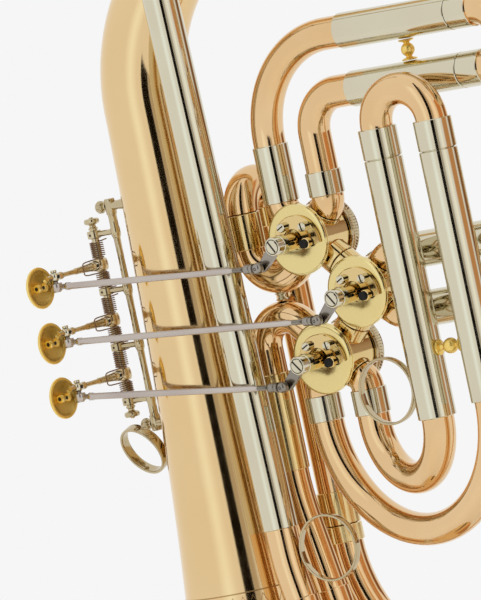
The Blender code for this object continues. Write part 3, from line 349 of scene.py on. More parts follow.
class Shape:
    """A mesh being put together from several parts, with a finish for each face."""

    def __init__(self):
        self.mesh = bmesh.new()
        self.finishes = []

    def index(self, finish):
        if finish not in self.finishes:
            self.finishes.append(finish)
        return self.finishes.index(finish)

    def ring(self, place, first, second, radius, sides):
        """A circle of points round a place, in the plane of two directions."""
        plane = Matrix((first, second, first.cross(second))).transposed().to_4x4()
        plane.translation = place
        made = bmesh.ops.create_circle(self.mesh, cap_ends=False, radius=radius, segments=sides, matrix=plane)

        def turn(vert):
            spoke = vert.co - place
            return (atan2(-spoke.dot(first), spoke.dot(second)) + SAME) % (2 * pi)

        return sorted(made["verts"], key=turn)

    def loop(self, points):
        """A closed outline through a few points."""
        verts = [self.mesh.verts.new(point) for point in points]
        for k, vert in enumerate(verts):
            self.mesh.edges.new((verts[k - 1], vert))
        return verts

    def finished(self, faces, finish):
        number = self.index(finish)
        for face in faces:
            face.material_index = number
            face.smooth = True

    def cap(self, loop, finish, pole=None):
        """Close an outline with a flat face, or with a cone up to a pole."""
        made = bmesh.ops.contextual_create(self.mesh, geom=self.edges_of(loop))["faces"]
        if pole is not None:
            poked = bmesh.ops.poke(self.mesh, faces=made)
            poked["verts"][0].co = pole
            made = poked["faces"]
        self.finished(made, finish)

    def edges_of(self, loop):
        return [self.mesh.edges.get((loop[k - 1], vert)) for k, vert in enumerate(loop)]

    def skin(self, low, high, finish):
        """Join two outlines, or an outline and a pole."""
        if isinstance(low, Vector):
            self.cap(high, finish, low)
        elif isinstance(high, Vector):
            self.cap(low, finish, high)
        elif len(low) == len(high):
            made = bmesh.ops.extrude_edge_only(self.mesh, edges=self.edges_of(low))["geom"]
            self.finished([part for part in made if isinstance(part, bmesh.types.BMFace)], finish)
            fresh = {part for part in made if isinstance(part, bmesh.types.BMVert)}
            goals = {edge.other_vert(vert): goal for vert, goal in zip(low, high) for edge in vert.link_edges
                if edge.other_vert(vert) in fresh}
            bmesh.ops.weld_verts(self.mesh, targetmap=goals)
        else:
            # Both outlines lie in one plane. One is lifted while they are joined, so that both run
            # the same way round.
            a, b, c = (low[k * len(low) // 3].co for k in range(3))
            lift = (b - a).cross(c - a).normalized() * LIFT
            bmesh.ops.translate(self.mesh, vec=lift, verts=high)
            edges = self.edges_of(low) + self.edges_of(high)
            made = bmesh.ops.bridge_loops(self.mesh, edges=edges)["faces"]
            bmesh.ops.translate(self.mesh, vec=-lift, verts=high)
            self.finished(made, finish)

    def turned(self, outline, place, heading, finish, sides=48, closed=False):
        """Turn an outline of (radius, distance) or (radius, distance, finish) about a heading."""
        heading = heading.normalized()
        first, second = across(heading)
        rings, finishes = [], []
        for point in outline:
            middle = place + heading * point[1]
            if point[0] == 0:
                rings.append(middle)
            else:
                rings.append(self.ring(middle, first, second, point[0], sides))
            finishes.append(point[2] if len(point) > 2 else finish)
        for low, high, name in zip(rings, rings[1:], finishes[1:]):
            self.skin(low, high, name)
        if closed:
            self.skin(rings[-1], rings[0], finish)
        return self

    def rod(self, start, end, radius, finish, sides=24, edge=0.0):
        length = (end - start).length
        outline = [(0, 0), (radius - edge, 0), (radius, edge), (radius, length - edge),
            (radius - edge, length), (0, length)]
        return self.turned(outline if edge else outline[:2] + outline[4:], start, end - start, finish, sides)

    def box(self, middle, ways, sizes, finish):
        """A block: ways are three unit directions, sizes are full lengths."""
        place = Matrix([way * size for way, size in zip(ways, sizes)]).transposed().to_4x4()
        place.translation = middle
        made = bmesh.ops.create_cube(self.mesh, size=1.0, matrix=place)["verts"]
        self.finished({face for vert in made for face in vert.link_faces}, finish)
        return self

    def plate(self, points, depth, finish, edge=0.0):
        """A flat plate: outline points in order, thickened by the depth vector, with bevelled edges."""
        face = bmesh.ops.contextual_create(self.mesh, geom=self.edges_of(self.loop(points)))["faces"][0]
        far = bmesh.ops.extrude_face_region(self.mesh, geom=[face], use_keep_orig=True)["geom"]
        bmesh.ops.translate(self.mesh, vec=depth, verts=[g for g in far if isinstance(g, bmesh.types.BMVert)])
        far_face = [g for g in far if isinstance(g, bmesh.types.BMFace)][0]
        verts = list(face.verts) + list(far_face.verts)
        if edge:
            rims = list(face.edges) + list(far_face.edges)
            made = bmesh.ops.bevel(self.mesh, geom=rims, offset=edge, offset_type="OFFSET", segments=1,
                profile=0.5, affect="EDGES", material=-1)
            verts = made["verts"]
        self.finished({face for vert in verts for face in vert.link_faces}, finish)
        return self

    def tube(self, route, sides=40, bore_sides=24):
        """The tube along a route, with chamfered steps, and its bore."""
        stations = chamfered(route.stations)
        outer = self.sweep([(s[0], s[1], s[2], s[4]) for s in stations], sides)
        bore = self.sweep([(s[0], s[1], s[3], "inside") for s in thinned(route.stations)], bore_sides)
        for out_ring, bore_ring, name in ((outer[0], bore[0], stations[0][4]),
                (outer[-1], bore[-1], stations[-1][4])):
            self.skin(out_ring, bore_ring, name)
        return self

    def sweep(self, stations, sides):
        first, _ = across(stations[0][1])
        last = stations[0][1]
        rings = []
        for place, heading, radius, _ in stations:
            first = last.rotation_difference(heading) @ first
            first = (first - heading * first.dot(heading)).normalized()
            last = heading
            rings.append(self.ring(place, first, heading.cross(first), radius, sides))
        for low, high, station in zip(rings, rings[1:], stations[1:]):
            self.skin(low, high, station[3])
        return rings

    def piece(self, node, ending, crease=32):
        """Finish the mesh as a scene object that stands for a CAD node and rides with its body."""
        bmesh.ops.recalc_face_normals(self.mesh, faces=self.mesh.faces)
        bmesh.ops.scale(self.mesh, vec=Vector((METRES, METRES, METRES)), verts=self.mesh.verts)
        name = NAMES.get(node, f"{node}_{ending}")
        data = bpy.data.meshes.new(name)
        self.mesh.to_mesh(data)
        self.mesh.free()
        data.set_sharp_from_angle(angle=radians(crease))
        for finish in self.finishes:
            data.materials.append(FINISHES[finish])
        thing = bpy.data.objects.new(name, data)
        bpy.context.scene.collection.objects.link(thing)
        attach(thing, frame["nodes"][node]["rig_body"])
        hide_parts(node)
        return thing


def across(heading):
    """Two directions square to a heading."""
    guide = Z if abs(heading.dot(Y)) > 0.9 else Y
    first = (guide - heading * guide.dot(heading)).normalized()
    return first, heading.cross(first)


def mirrored(*points):
    """An outline of (radius, distance) points, first at minus the distance, then back at plus."""
    return [(radius, -along) for radius, along in points] + list(points[::-1])


def thinned(stations):
    """Stations without those that only change the outside."""
    kept = []
    for station in stations:
        if kept and (station[0] - kept[-1][0]).length < SAME and station[3] == kept[-1][3]:
            continue
        kept.append(station)
    return kept


def chamfered(stations):
    """Turn each sudden change of outside radius into a small rounded shoulder."""
    made = []
    for k, station in enumerate(stations):
        place, heading, outer, bore, finish = station
        before = stations[k - 1] if k else None
        after = stations[k + 1] if k + 1 < len(stations) else None
        same_before = before and (place - before[0]).length < SAME
        same_after = after and (place - after[0]).length < SAME
        if same_before and before[2] == outer and before[4] == finish:
            continue
        rises = same_before and outer > before[2]
        falls = same_after and after[2] < outer
        slim = (place, heading, outer - EDGE, bore, finish)
        if rises or (before is None and not falls):
            made += [slim, (place + heading * EDGE, *station[1:])]
        elif falls or after is None:
            made += [(place - heading * EDGE, *station[1:]), slim]
        else:
            made.append(station)
    return made


class Route:
    """A tube's centre line, walked from one end: place, heading, outer and bore radius, finish."""

    def __init__(self, place, heading, outer=TUBE_R, bore=TUBE_BORE, finish="rose"):
        self.place = Vector(place)
        self.heading = heading.normalized()
        self.outer = outer
        self.bore = bore
        self.finish = finish
        self.stations = []
        self.mark()

    def mark(self):
        self.stations.append((self.place.copy(), self.heading.copy(), self.outer, self.bore, self.finish))

    def step(self, outer, finish=None, bore=None):
        """Change the outside radius at once, as at a ferrule's edge, and the finish after it."""
        self.outer = outer
        self.bore = bore or self.bore
        self.finish = finish or self.finish
        self.mark()
        return self

    def band(self, outer, finish, length):
        """A stretch with a new outside and finish, such as a ferrule."""
        return self.step(outer, finish).go(length)

    def reach(self, height):
        """Go straight on to a height above the first valve."""
        return self.go((VALVE_1.z + height - self.place.z) / self.heading.z)

    def sleeve(self, outer, bore, length, finish=None):
        """A wider tube over the end: its outside starts at once, its bore a shoulder deeper."""
        self.step(outer, finish)
        self.go(1.5)
        self.step(outer, bore=bore)
        return self.go(length - 1.5)

    def go(self, length, outer=None, bore=None):
        self.place = self.place + self.heading * length
        self.outer = outer or self.outer
        self.bore = bore or self.bore
        self.mark()
        return self

    def turn(self, radius, degrees, axis, outer=None, bore=None):
        """Bend about an axis square to the heading, positive by the right-hand rule."""
        side = 1 if degrees > 0 else -1
        middle = self.place + side * radius * axis.cross(self.heading).normalized()
        spoke, start = self.place - middle, self.heading.copy()
        outer_start, bore_start = self.outer, self.bore
        steps = max(4, int(abs(degrees) / 4))
        for k in range(1, steps + 1):
            spin = Matrix.Rotation(radians(degrees) * k / steps, 3, axis)
            self.place = middle + spin @ spoke
            self.heading = (spin @ start).normalized()
            self.outer = outer_start + ((outer or outer_start) - outer_start) * k / steps
            self.bore = bore_start + ((bore or bore_start) - bore_start) * k / steps
            self.mark()
        return self

    def turn_to(self, heading, radius):
        """Bend the shortest way to a new heading."""
        axis = self.heading.cross(heading).normalized()
        angle = self.heading.angle(heading) * 180 / pi
        return self.turn(radius, angle, axis)


def tube_piece(node, route, ending="tube", sides=40):
    Shape().tube(route, sides).piece(node, ending)


def valve_place(number):
    return spot(VALVE_STEP if number == 2 else 0.0, 0, -(number - 1) * VALVE_STEP)


def port_way(degrees):
    """A direction in the plane of the valves."""
    return mm(cos(radians(degrees)), 0, sin(radians(degrees)))


def level_way(degrees):
    return mm(cos(radians(degrees)), sin(radians(degrees)), 0)


def port_start(number, degrees):
    return valve_place(number) + Y * PORT_DEPTH + port_way(degrees) * (STUB_REACH + GAP)


# Bell and its bow

def bell_radius(height):
    flare = (BELL_RIM_R - BELL_STEM_R - BELL_LIP) * exp(-height / BELL_FLARE_LENGTH)
    return BELL_STEM_R + flare + BELL_LIP * exp(-height / BELL_LIP_LENGTH)


def show_bell():
    top = BELL_LENGTH + 1.0
    heights = [4 + (top - 4) * (k / 60) ** 1.6 for k in range(61)]
    bead = [(BELL_RIM_R - 1.0, 0), (BELL_RIM_R - 0.3, 0.3), (BELL_RIM_R, 1.1), (BELL_RIM_R - 0.2, 2.1),
        (BELL_RIM_R - 1.2, 2.7), (bell_radius(3.0) + 0.1, 2.9)]
    outside = bead + [(bell_radius(h), h) for h in heights]
    inside = [(bell_radius(h) - BELL_WALL, h, "rose") for h in reversed(heights)]
    inside += [(BELL_RIM_R - 3.2, 1.6), (BELL_RIM_R - 3.0, 0)]
    Shape().turned(outside + inside, Vector(), Z, "bell", 144, closed=True).piece("bell", "shell")


def bell_bow_station(turn):
    """The bow's middle, heading and outer radius after a turn between 0 and pi."""
    end = VALVE_1 + RETURN_PLACE
    span = mm(end.x, end.y, 0)
    way, half = span.normalized(), span.length / 2
    base = Z * (BELL_LENGTH + GAP + BELL_BOW_START)
    place = base + way * half * (1 - cos(turn)) + Z * BELL_BOW_RISE * sin(turn)
    heading = (way * half * sin(turn) + Z * BELL_BOW_RISE * cos(turn)).normalized()
    start_r = bell_radius(BELL_LENGTH)
    return place, heading, start_r + (BELL_BOW_END_R - start_r) * turn / pi


def port_to_leg(number, degrees, leg_x, radius, bend):
    """A tube out of a slanted port, straight at first, then round to an upright leg."""
    route = Route(port_start(number, degrees), port_way(degrees))
    slant = cos(radians(45))
    route.go(max((route.place.x - leg_x - (1 + slant) * radius) / slant, 0.5))
    return route.turn(radius, bend, -Y)


def show_bell_bow():
    start_r = bell_radius(BELL_LENGTH) - 0.03
    route = Route(Z * (BELL_LENGTH + GAP / 2), Z, start_r, start_r - BELL_WALL, "bell")
    route.go(BELL_BOW_START + GAP / 2)
    steps = 56
    for k in range(1, steps + 1):
        route.place, route.heading, route.outer = bell_bow_station(pi * k / steps)
        route.bore = route.outer - BELL_WALL
        route.mark()
    route.reach(RETURN_PLACE.z + FERRULE_RETURN)
    route.band(BELL_BOW_END_R + 0.9, "silver", FERRULE_RETURN)
    tube_piece("bell_bow", route, sides=64)


def show_return_tube():
    start = VALVE_1 + BRANCH_PLACE + Z * RETURN_LOW
    top = VALVE_1 + RETURN_PLACE
    span = mm(top.x - start.x, top.y - start.y, 0)
    axis = Z.cross(span.normalized()).normalized()
    route = Route(start, -Z, BRANCH_R + 0.8, BRANCH_R - 0.6, "gold")
    route.go(7.0)
    route.step(BRANCH_R, "rose")
    route.turn(span.length / 2, -180, axis, outer=8.3, bore=7.6)
    route.go(top.z - route.place.z - GAP, outer=BELL_BOW_END_R, bore=BELL_BOW_END_R - 0.8)
    tube_piece("return_tube", route, "brass")


def show_branch():
    route = port_to_leg(1, 225, VALVE_1.x + BRANCH_PLACE.x, BRANCH_BEND_R, -135)
    route.step(TUBE_R + 0.7, "gold").reach(BRANCH_CROOK)
    tube_piece("branch_bow", route)
    crook = Route(route.place + Z * GAP, Z, BRANCH_R, TUBE_BORE)
    reach = (VALVE_1.y + BRANCH_PLACE.y - route.place.y) / 2
    crook.turn(reach, 180, -X)
    crook.band(BRANCH_R + 0.7, "gold", 8)
    crook.step(BRANCH_R, "rose").reach(RETURN_LOW + 14)
    crook.band(BRANCH_R + 0.7, "gold", 14 - GAP)
    tube_piece("branch_tube", crook)


# Valves

def add_painted_slot_shade(shape, place, facing, way, length, width=0.7):
    """A screwdriver slot as painted shade: a near-black strip just proud of a screw's face, where no slot is
    cut.
    """
    shape.box(place + facing * 0.02, (way, facing.cross(way), facing), (length, width, 0.1), "slot")


def add_painted_hole_shade(shape, place, facing, radius, inner=0.6, rise=0.06, sides=20):
    """A dimple or hole as painted shade: a near-black low button, where no hole is cut."""
    shape.turned([(radius, 0), (inner, rise), (0, rise)], place, facing, "slot", sides)


def show_casing(number, ports):
    axis = valve_place(number)
    front = COVER_THICK + GAP
    shape = Shape()
    back = front + CASING_LENGTH
    outline = [(CASING_BORE, front), (CASING_R - EDGE, front), (CASING_R, front + EDGE),
        (CASING_R, back - EDGE), (CASING_R - EDGE, back), (CASING_BORE, back)]
    shape.turned(outline, axis, Y, "gold", 72, closed=True)
    middle = axis + Y * PORT_DEPTH
    for degrees, reach in ports:
        way = port_way(degrees)
        collar = [(6.0, 11.4), (STUB_R, 11.4), (STUB_R, reach - EDGE), (STUB_R - EDGE, reach),
            (TUBE_BORE * 0.93, reach), (TUBE_BORE * 0.93, 10.3, "inside")]
        shape.turned(collar, middle, way, "gold", 40)
    shape.piece(f"valve_casing_{number}", "body")


def show_rotor(number):
    axis = valve_place(number)
    front = COVER_THICK + 2 * GAP
    back = COVER_THICK + CASING_LENGTH
    shape = Shape()
    waist = [(SPINDLE_R - 0.2, -0.9), (SPINDLE_R, -0.7), (SPINDLE_R, front), (ROTOR_R - EDGE, front),
        (ROTOR_R, front + EDGE), (ROTOR_R, front + 1.6)]
    rear = [(ROTOR_R, back - 1.6), (ROTOR_R, back - EDGE), (ROTOR_R - EDGE, back), (SPINDLE_R, back),
        (SPINDLE_R, back + 3.0), (0, back + 3.0)]
    shape.turned([(0, -0.9)] + waist + rear, axis, Y, "yellow", 64)
    shape.piece(f"valve_rotor_{number}", "core")


def show_cover(number):
    """The bearing plate in front: spun rings, a raised rim and a centre boss."""
    hole = SPINDLE_R + GAP
    outline = [(hole, 0.3), (3.6, 0.3), (3.9, 0), (COVER_R - 1.3, 0), (COVER_R - 0.5, 0.25), (COVER_R, 0.7),
        (COVER_R, 1.5), (COVER_R - 0.4, 1.7), (COVER_R - 0.4, 1.9), (COVER_R, 2.1), (COVER_R, COVER_THICK),
        (hole, COVER_THICK)]
    Shape().turned(outline, valve_place(number), Y, "yellow", 96, closed=True).piece(f"valve_cover_{number}",
        "plate")


def show_back_cap(number):
    """The screwed cap behind the valve: a knurled rim round a domed back."""
    start = COVER_THICK + CASING_LENGTH + 2 * GAP
    place = valve_place(number) + Y * start
    outline = [(0, 4.0), (SPINDLE_R + GAP, 4.0), (SPINDLE_R + GAP, 0), (COVER_R - 1.0, 0),
        (COVER_R - 0.7, 0.3), (COVER_R - 0.7, 4.7), (COVER_R - 1.2, 5.2), (COVER_R - 2.4, 5.4),
        (COVER_R - 3.0, 6.0), (4.0, 6.4), (0, 6.4)]
    shape = Shape().turned(outline, place, Y, "rail", 96)
    add_knurl(shape, place + Y * 0.7, Y, COVER_R - 0.8, 3.6, 0.7, 72, "rail")
    shape.piece(f"valve_cap_{number}", "ring")


def add_knurl(shape, place, heading, radius, width, height, count, finish):
    """A band of straight ridges round a screw's or a cap's rim."""
    first, second = across(heading)
    rows = []
    for along, rise in ((0, 0.1), (0.18, 1.0), (0.82, 1.0), (1, 0.1)):
        middle = place + heading * width * along
        valley, ridge = (radius + height * share * rise for share in (0.15, 1.0))
        row = shape.ring(middle, first, second, valley, count * 2)
        grow = Vector((1, 1, 1)) * ridge / valley
        bmesh.ops.scale(shape.mesh, vec=grow, space=Matrix.Translation(-middle), verts=row[::2])
        rows.append(row)
    for low, high in zip(rows, rows[1:]):
        shape.skin(low, high, finish)


def show_bumper_plate(number):
    """The horseshoe plate with its two screws, and a rubber bumper in a cup at each end."""
    axis = valve_place(number) - Y * GAP
    shape = Shape()
    loops = []
    steps = 48
    for k in range(steps + 1):
        inward = port_way(-46 + 212 * k / steps)
        outward = port_way(-6 + 172 * k / steps)
        inner = axis + inward * PLATE_IN
        outer = axis + PLATE_SHIFT + outward * PLATE_OUT
        edge = 0.3
        corners = (inner, outer, outer - Y * (PLATE_THICK - edge), outer - outward * edge - Y * PLATE_THICK,
            inner + inward * edge - Y * PLATE_THICK, inner - Y * (PLATE_THICK - edge))
        loops.append(shape.loop(corners))
    for low, high in zip(loops, loops[1:]):
        shape.skin(low, high, "gold")
    shape.cap(loops[0], "gold")
    shape.cap(loops[-1], "gold")
    face = -PLATE_THICK
    for x, z, turn in ((-3.6, 6.1, 25), (6.9, 5.2, 100)):
        head = axis + mm(x, face, z)
        shape.turned([(1.9, 0), (1.9, 1.7), (1.6, 2.1), (0, 2.2)], head, -Y, "silver", 28)
        # The screw's slot is painted shade
        add_painted_slot_shade(shape, head - Y * 2.2, -Y, port_way(turn), 3.2, 0.55)
    for x, z in ((6.5, -1.6), (-6.2, 1.5)):
        pad = axis + mm(x, face + 0.2, z)
        shape.turned([(2.2, 0), (2.2, 1.3), (1.9, 1.5), (1.8, 1.3)], pad, -Y, "gold", 28)
        shape.rod(pad, pad - Y * 3.2, 1.8, "rubber", 28, edge=0.3)
    shape.piece(f"bumper_plate_{number}", "set")


def show_stop_arm(number):
    """Hub on the spindle with its neck, the tapered arm, and the big screw with a painted-shade slot."""
    axis = valve_place(number)
    edge = 0.3
    # The dark ring at the screw's edge is painted shade in the gap between collar and screw
    outline = [(0, -1.2), (HUB_R, -1.2), (HUB_R, -8.6), (COLLAR_R - edge, -8.7), (COLLAR_R, -9.0),
        (COLLAR_R, -11.9, "silver"), (COLLAR_R - edge, -12.1, "silver"), (COLLAR_R - edge, -12.3, "silver"),
        (COLLAR_R, -12.5, "silver"), (COLLAR_R, -15.9, "silver"), (COLLAR_R - edge, -16.2, "silver"),
        (SCREW_R + 0.2, -16.2, "silver"), (SCREW_R + 0.1, -15.6, "slot"), (SCREW_R - 0.1, -15.6, "slot"),
        (SCREW_R - 0.1, HUB_FRONT + 0.3, "silver"), (SCREW_R - 0.3, HUB_FRONT + 0.1, "silver"),
        (0, HUB_FRONT + 0.1, "silver")]
    shape = Shape().turned(outline, axis, Y, "gold", 48)
    way = port_way(ARM_REST)
    side = way.cross(Y)
    points = []
    for middle, radius, from_angle in ((axis, 2.7, 90), (axis + way * ARM_LENGTH, 2.1, 270)):
        for k in range(13):
            angle = radians(from_angle + 180 * k / 12)
            points.append(middle + Y * ARM_BACK + radius * (cos(angle) * way + sin(angle) * side))
    # The arm is in steel darkened as painted shade
    shape.plate(points, Y * (ARM_FRONT - ARM_BACK), "steel", 0.25)
    # The screw's slot is painted shade
    add_painted_slot_shade(shape, axis + Y * (HUB_FRONT + 0.08), -Y, port_way(-62 + 4 * number), 5.4, 0.7)
    shape.piece(f"stop_arm_{number}", "set")


def show_valves():
    link = VALVE_STEP * 2 ** 0.5 / 2 - GAP / 2  # half the way between two casings
    show_casing(1, [(135, STUB_REACH), (45, STUB_REACH), (225, STUB_REACH), (-45, link)])
    show_casing(2, [(135, link), (45, STUB_REACH), (-45, STUB_REACH), (225, link)])
    show_casing(3, [(45, link), (135, STUB_REACH), (225, STUB_REACH), (-45, STUB_REACH)])
    for number in (1, 2, 3):
        show_rotor(number)
        show_cover(number)
        show_back_cap(number)
        show_bumper_plate(number)
        show_stop_arm(number)


# Slides

def elbow(number, degrees, heading):
    return Route(port_start(number, degrees), port_way(degrees)).turn_to(heading, ELBOW_R)


def slide_bow(node, leg_ends, heading, outer=SLEEVE_R, ferrule=FERRULE):
    """A moving U: two silver inner tubes, two silver ferrules and the brass bow."""
    first, second = leg_ends
    inserted = INSERTED[node]
    axis = heading.cross((second - first).normalized()).normalized()
    route = Route(first - heading * inserted, heading, INNER_R, INNER_BORE, "silver").go(inserted + GAP)
    route.band(outer, "silver", ferrule)
    route.step(TUBE_R, "rose").turn((second - first).length / 2, 180, axis)
    route.band(outer, "silver", ferrule)
    route.band(INNER_R, "silver", inserted + GAP)
    tube_piece(node, route, "bow_tube")


def show_slide_1():
    ends = []
    for node, degrees, radius, cuff in (("slide_1_outer_leg", 135, BOW_OUT_1, 38.7),
            ("slide_1_inner_leg", 45, BOW_OUT_1 - 2 * LEG, 25.2)):
        route = elbow(1, degrees, Z)
        route.step(SLEEVE_R, "silver").reach(cuff)
        route.band(TUBE_R, "rose", BOW_TOP_1 - cuff)
        route.turn(radius, 90, Y)
        route.go(VALVE_1.x + SLEEVE_FROM_1 - route.place.x)
        route.sleeve(SLEEVE_R, SLEEVE_BORE, SLEEVE_TO_1 - SLEEVE_FROM_1, "silver")
        tube_piece(node, route)
        ends.append(route.place.copy())
    slide_bow("slide_1", ends, X)


def show_slide_2():
    way = level_way(SLIDE_2_LEAN)
    mouths = []
    for node, degrees in (("slide_2_upper_leg", 45), ("slide_2_lower_leg", -45)):
        route = elbow(2, degrees, way)
        route.go(2.5)
        route.sleeve(SLEEVE_R, SLEEVE_BORE, SLEEVE_2, "silver")
        tube_piece(node, route)
        mouths.append(route.place.copy())
    slide_bow("slide_2", mouths, way)


def show_slide_3():
    near = VALVE_1 + SLIDE_3_NEAR
    far = near + X * SLIDE_3_WIDTH
    top = VALVE_1.z + SLEEVE_TOP_3
    mouths = []
    for node, degrees, leg, bow_z in (("slide_3_inner_leg", -45, near, INNER_BOW_Z),
            ("slide_3_outer_leg", 225, far, OUTER_BOW_Z)):
        route = elbow(3, degrees, -Z)
        route.band(SLEEVE_R, "silver", 10.5)
        route.step(TUBE_R, "rose")
        span = mm(leg.x - route.place.x, leg.y - route.place.y, 0)
        axis = Z.cross(span.normalized()).normalized()
        straight = route.place.z - VALVE_1.z - bow_z
        if straight > 1.0:
            route.go(straight)
        route.turn(span.length / 2, -180, axis)
        route.sleeve(WIDE_R, SLEEVE_BORE, top - route.place.z, "silver")
        tube_piece(node, route)
        mouths.append(route.place.copy())
    slide_bow("slide_3", mouths, Z, WIDE_R, 12.2)


# Leadpipe side

def leadpipe_place(height):
    along = (height - LEADPIPE_AT.z) / LEADPIPE_LEAN.z
    return VALVE_1 + LEADPIPE_AT + LEADPIPE_LEAN * along


def show_leadpipe():
    way = port_way(TUNING_WAY)
    route = Route(leadpipe_place(LEADPIPE_TOP), LEADPIPE_LEAN, SLEEVE_R, TUBE_BORE, "silver")
    route.reach(LEADPIPE_SLEEVE_END)
    route.band(TUBE_R, "rose", 8).turn_to(way, TUNING_BEND_R).reach(TUNING_TOP)
    route.sleeve(SLEEVE_R, SLEEVE_BORE, TUNING_SLEEVE, "rose")
    tube_piece("leadpipe", route)
    near = route.place.copy()
    route = port_to_leg(3, 135, VALVE_1.x + RETURN_LEG_X, RETURN_BEND_R, 135)
    route.go(10)
    route.step(TUBE_R + 0.6, "gold").reach(RETURN_BAND_END)
    route.step(TUBE_R, "rose").turn_to(way, RETURN_WIDE_BEND_R)
    route.reach(TUNING_TOP)
    route.sleeve(SLEEVE_R, SLEEVE_BORE, TUNING_SLEEVE, "rose")
    tube_piece("tuning_return", route)
    back = route.place - way * (route.place - near).dot(way)
    slide_bow("tuning_slide", (near, back), way)


def show_receiver():
    base = leadpipe_place(LEADPIPE_TOP) - LEADPIPE_LEAN * GAP
    points = [(5.9, 0), (6.2, 0.3), (6.2, 3), (7.9, 3.1), (8.2, 3.4), (8.2, 6.2), (7.9, 6.5), (6.2, 7.2),
        (5.6, 8.6), (5.3, 44), (5.8, 46), (7.3, 47.6), (7.7, 48.6), (7.9, 54), (7.4, 70), (7.6, 71),
        (8.5, 71.8), (8.6, 72.3), (8.6, 75.6), (8.4, 76.2), (8.0, 77), (6.6, 77), (6.1, 50), (4.4, 46),
        (4.9, 0)]
    Shape().turned(points, base, -LEADPIPE_LEAN, "silver", 56, closed=True).piece("mouthpiece_receiver",
        "tube")


def show_mouthpiece():
    base = leadpipe_place(LEADPIPE_TOP) - LEADPIPE_LEAN * (GAP + 53)
    top = MOUTHPIECE_LENGTH
    points = [(5.4, 0), (5.6, 0.3), (6.15, 24), (6.5, 25.2), (6.6, 27), (6.7, 34), (7.3, 44), (8.6, 49),
        (11.5, 54), (14.2, 59.5), (15.5, 66), (16.3, 73), (17.0, top - 4.4), (18.0, top - 3.6),
        (18.6, top - 2.5), (18.5, top - 1.3), (17.9, top - 0.5), (17.0, top - 0.1), (16.0, top),
        (14.6, top - 0.3), (13.4, top - 1.0), (12.6, top - 2.2), (12.2, top - 4), (11.8, top - 9),
        (10.6, top - 14), (8.4, top - 18.4), (5.4, top - 22), (3.4, top - 26), (3.2, top - 32), (4.5, 0)]
    Shape().turned(points, base, -LEADPIPE_LEAN, "silver", 72, closed=True).piece("mouthpiece", "cup", 50)


# Keys

def key_axis(number):
    return VALVE_1 + AXLE + Z * KEY_HEIGHTS[number - 1]


def key_way():
    return level_way(KEY_WAY)


def show_lever(number):
    """Hub on the axle with its clamp collar, the tapered arm, the end ball and the rod's pivot screw."""
    axis = key_axis(number)
    way = key_way()
    side = Z.cross(way)
    bore = AXLE_R + 0.2
    shape = Shape()
    shape.turned(mirrored((bore, 2.5), (2.5, 2.5), (2.9, 2.1), (3.2, 0.8)), axis, Z, "lever", 40, closed=True)
    reach = KEY_REACH
    points = [(1.9, 2.4, "silver"), (2.1, 2.8, "silver"), (2.1, 5.4, "silver"), (1.9, 5.7, "silver"),
        (1.8, 5.8), (1.75, 7.0), (1.3, 14.4), (1.35, 15.0), (1.35, 15.6), (1.05, 16.2), (0.95, 21),
        (1.0, reach - 4.6), (1.5, reach - 4.2), (1.6, reach - 3.4), (1.4, reach - 2.7), (1.3, reach - 2.3)]
    ball = [(2.15 * cos(radians(a)), reach + 2.15 * sin(radians(a)), "silver") for a in range(-50, 61, 11)]
    tip = [(1.1, reach + 2.3), (1.0, reach + 4.6), (0, reach + 4.6)]
    outline = points + ball + tip
    shape.turned(outline, axis, way, "lever", 32)
    # The dimple and the pivot hole are painted shade: dark discs, not cut
    dimple = axis + way * 4.1 + side * 2.12
    add_painted_hole_shade(shape, dimple, side, 0.75, rise=0.05)
    knee = axis + way * KEY_REACH
    add_painted_hole_shade(shape, knee + side * 2.12, side, 0.8, 0.7, 0.05)
    low = knee - Z * (ROD_DROP + 1.7)
    # The pivot pin is in steel darkened partly as painted shade
    shape.rod(knee + Z * 2.6, low, 1.0, "steel", 20)
    shape.turned([(0, 0.5), (1.5, 0.4), (1.8, 0), (1.8, -0.2), (1.0, -0.2)], low, -Z, "satin", 24)
    shape.turned([(0, 0.5), (1.0, 0.5), (1.3, 0.2), (1.3, -0.4)], knee + Z * 2.4, Z, "silver", 24)
    shape.piece(f"lever_{number}", "arm", 45)

def plate_place(number):
    return key_axis(number) + key_way() * (KEY_REACH + 6.4) + mm(-4.0, 0, -3.0)


def show_finger_plate(number):
    """The dished finger plate: a rolled rim, and the boss that joins it to the key, its hole and dimple
    painted shade.
    """
    points = [(0, -1.5), (2.4, -1.45), (4.6, -1.15), (6.4, -0.5), (7.3, 0.1), (8.0, 0.3), (8.4, 0.7),
        (8.5, 1.2), (8.3, 1.6), (7.8, 1.8), (7.3, 1.65), (6.9, 1.1), (6.2, 0.6), (4.8, 0.15), (3.0, -0.3),
        (0, -0.5)]
    place = plate_place(number)
    shape = Shape().turned(points, place, X, "gilt", 64)
    boss = place + X * 1.4
    points = mirrored((0, 2.9), (1.5, 2.9), (1.8, 2.6), (1.8, 1.1), (1.55, 0.8))
    shape.turned(points, boss, Y, "gilt", 32)
    # The boss's hole and side dimple are painted shade: dark discs, not cut
    shape.turned([(0, 0), (0.85, 0)], boss - Y * 2.92, Y, "slot", 24)
    add_painted_hole_shade(shape, boss + X * 1.52, X, 0.8)
    for side in (-1, 1):
        shape.box(boss + Y * side * 2.1 - X * 1.0, (X, Y, Z), (2.2, 1.1, 2.4), "gilt")
    tip = key_axis(number) + key_way() * (KEY_REACH + 4.9)
    shape.rod(boss + Y * 2.7, tip + Z * -0.6 + X * -0.8, 0.9, "gilt", 20)
    shape.piece(f"finger_plate_{number}", "dish", 40)


def rod_ends(number):
    left = key_axis(number) + key_way() * KEY_REACH - Z * ROD_DROP
    ball = valve_place(number) + port_way(ARM_REST) * ARM_LENGTH + Y * ROD_BALL_Y
    return left, ball


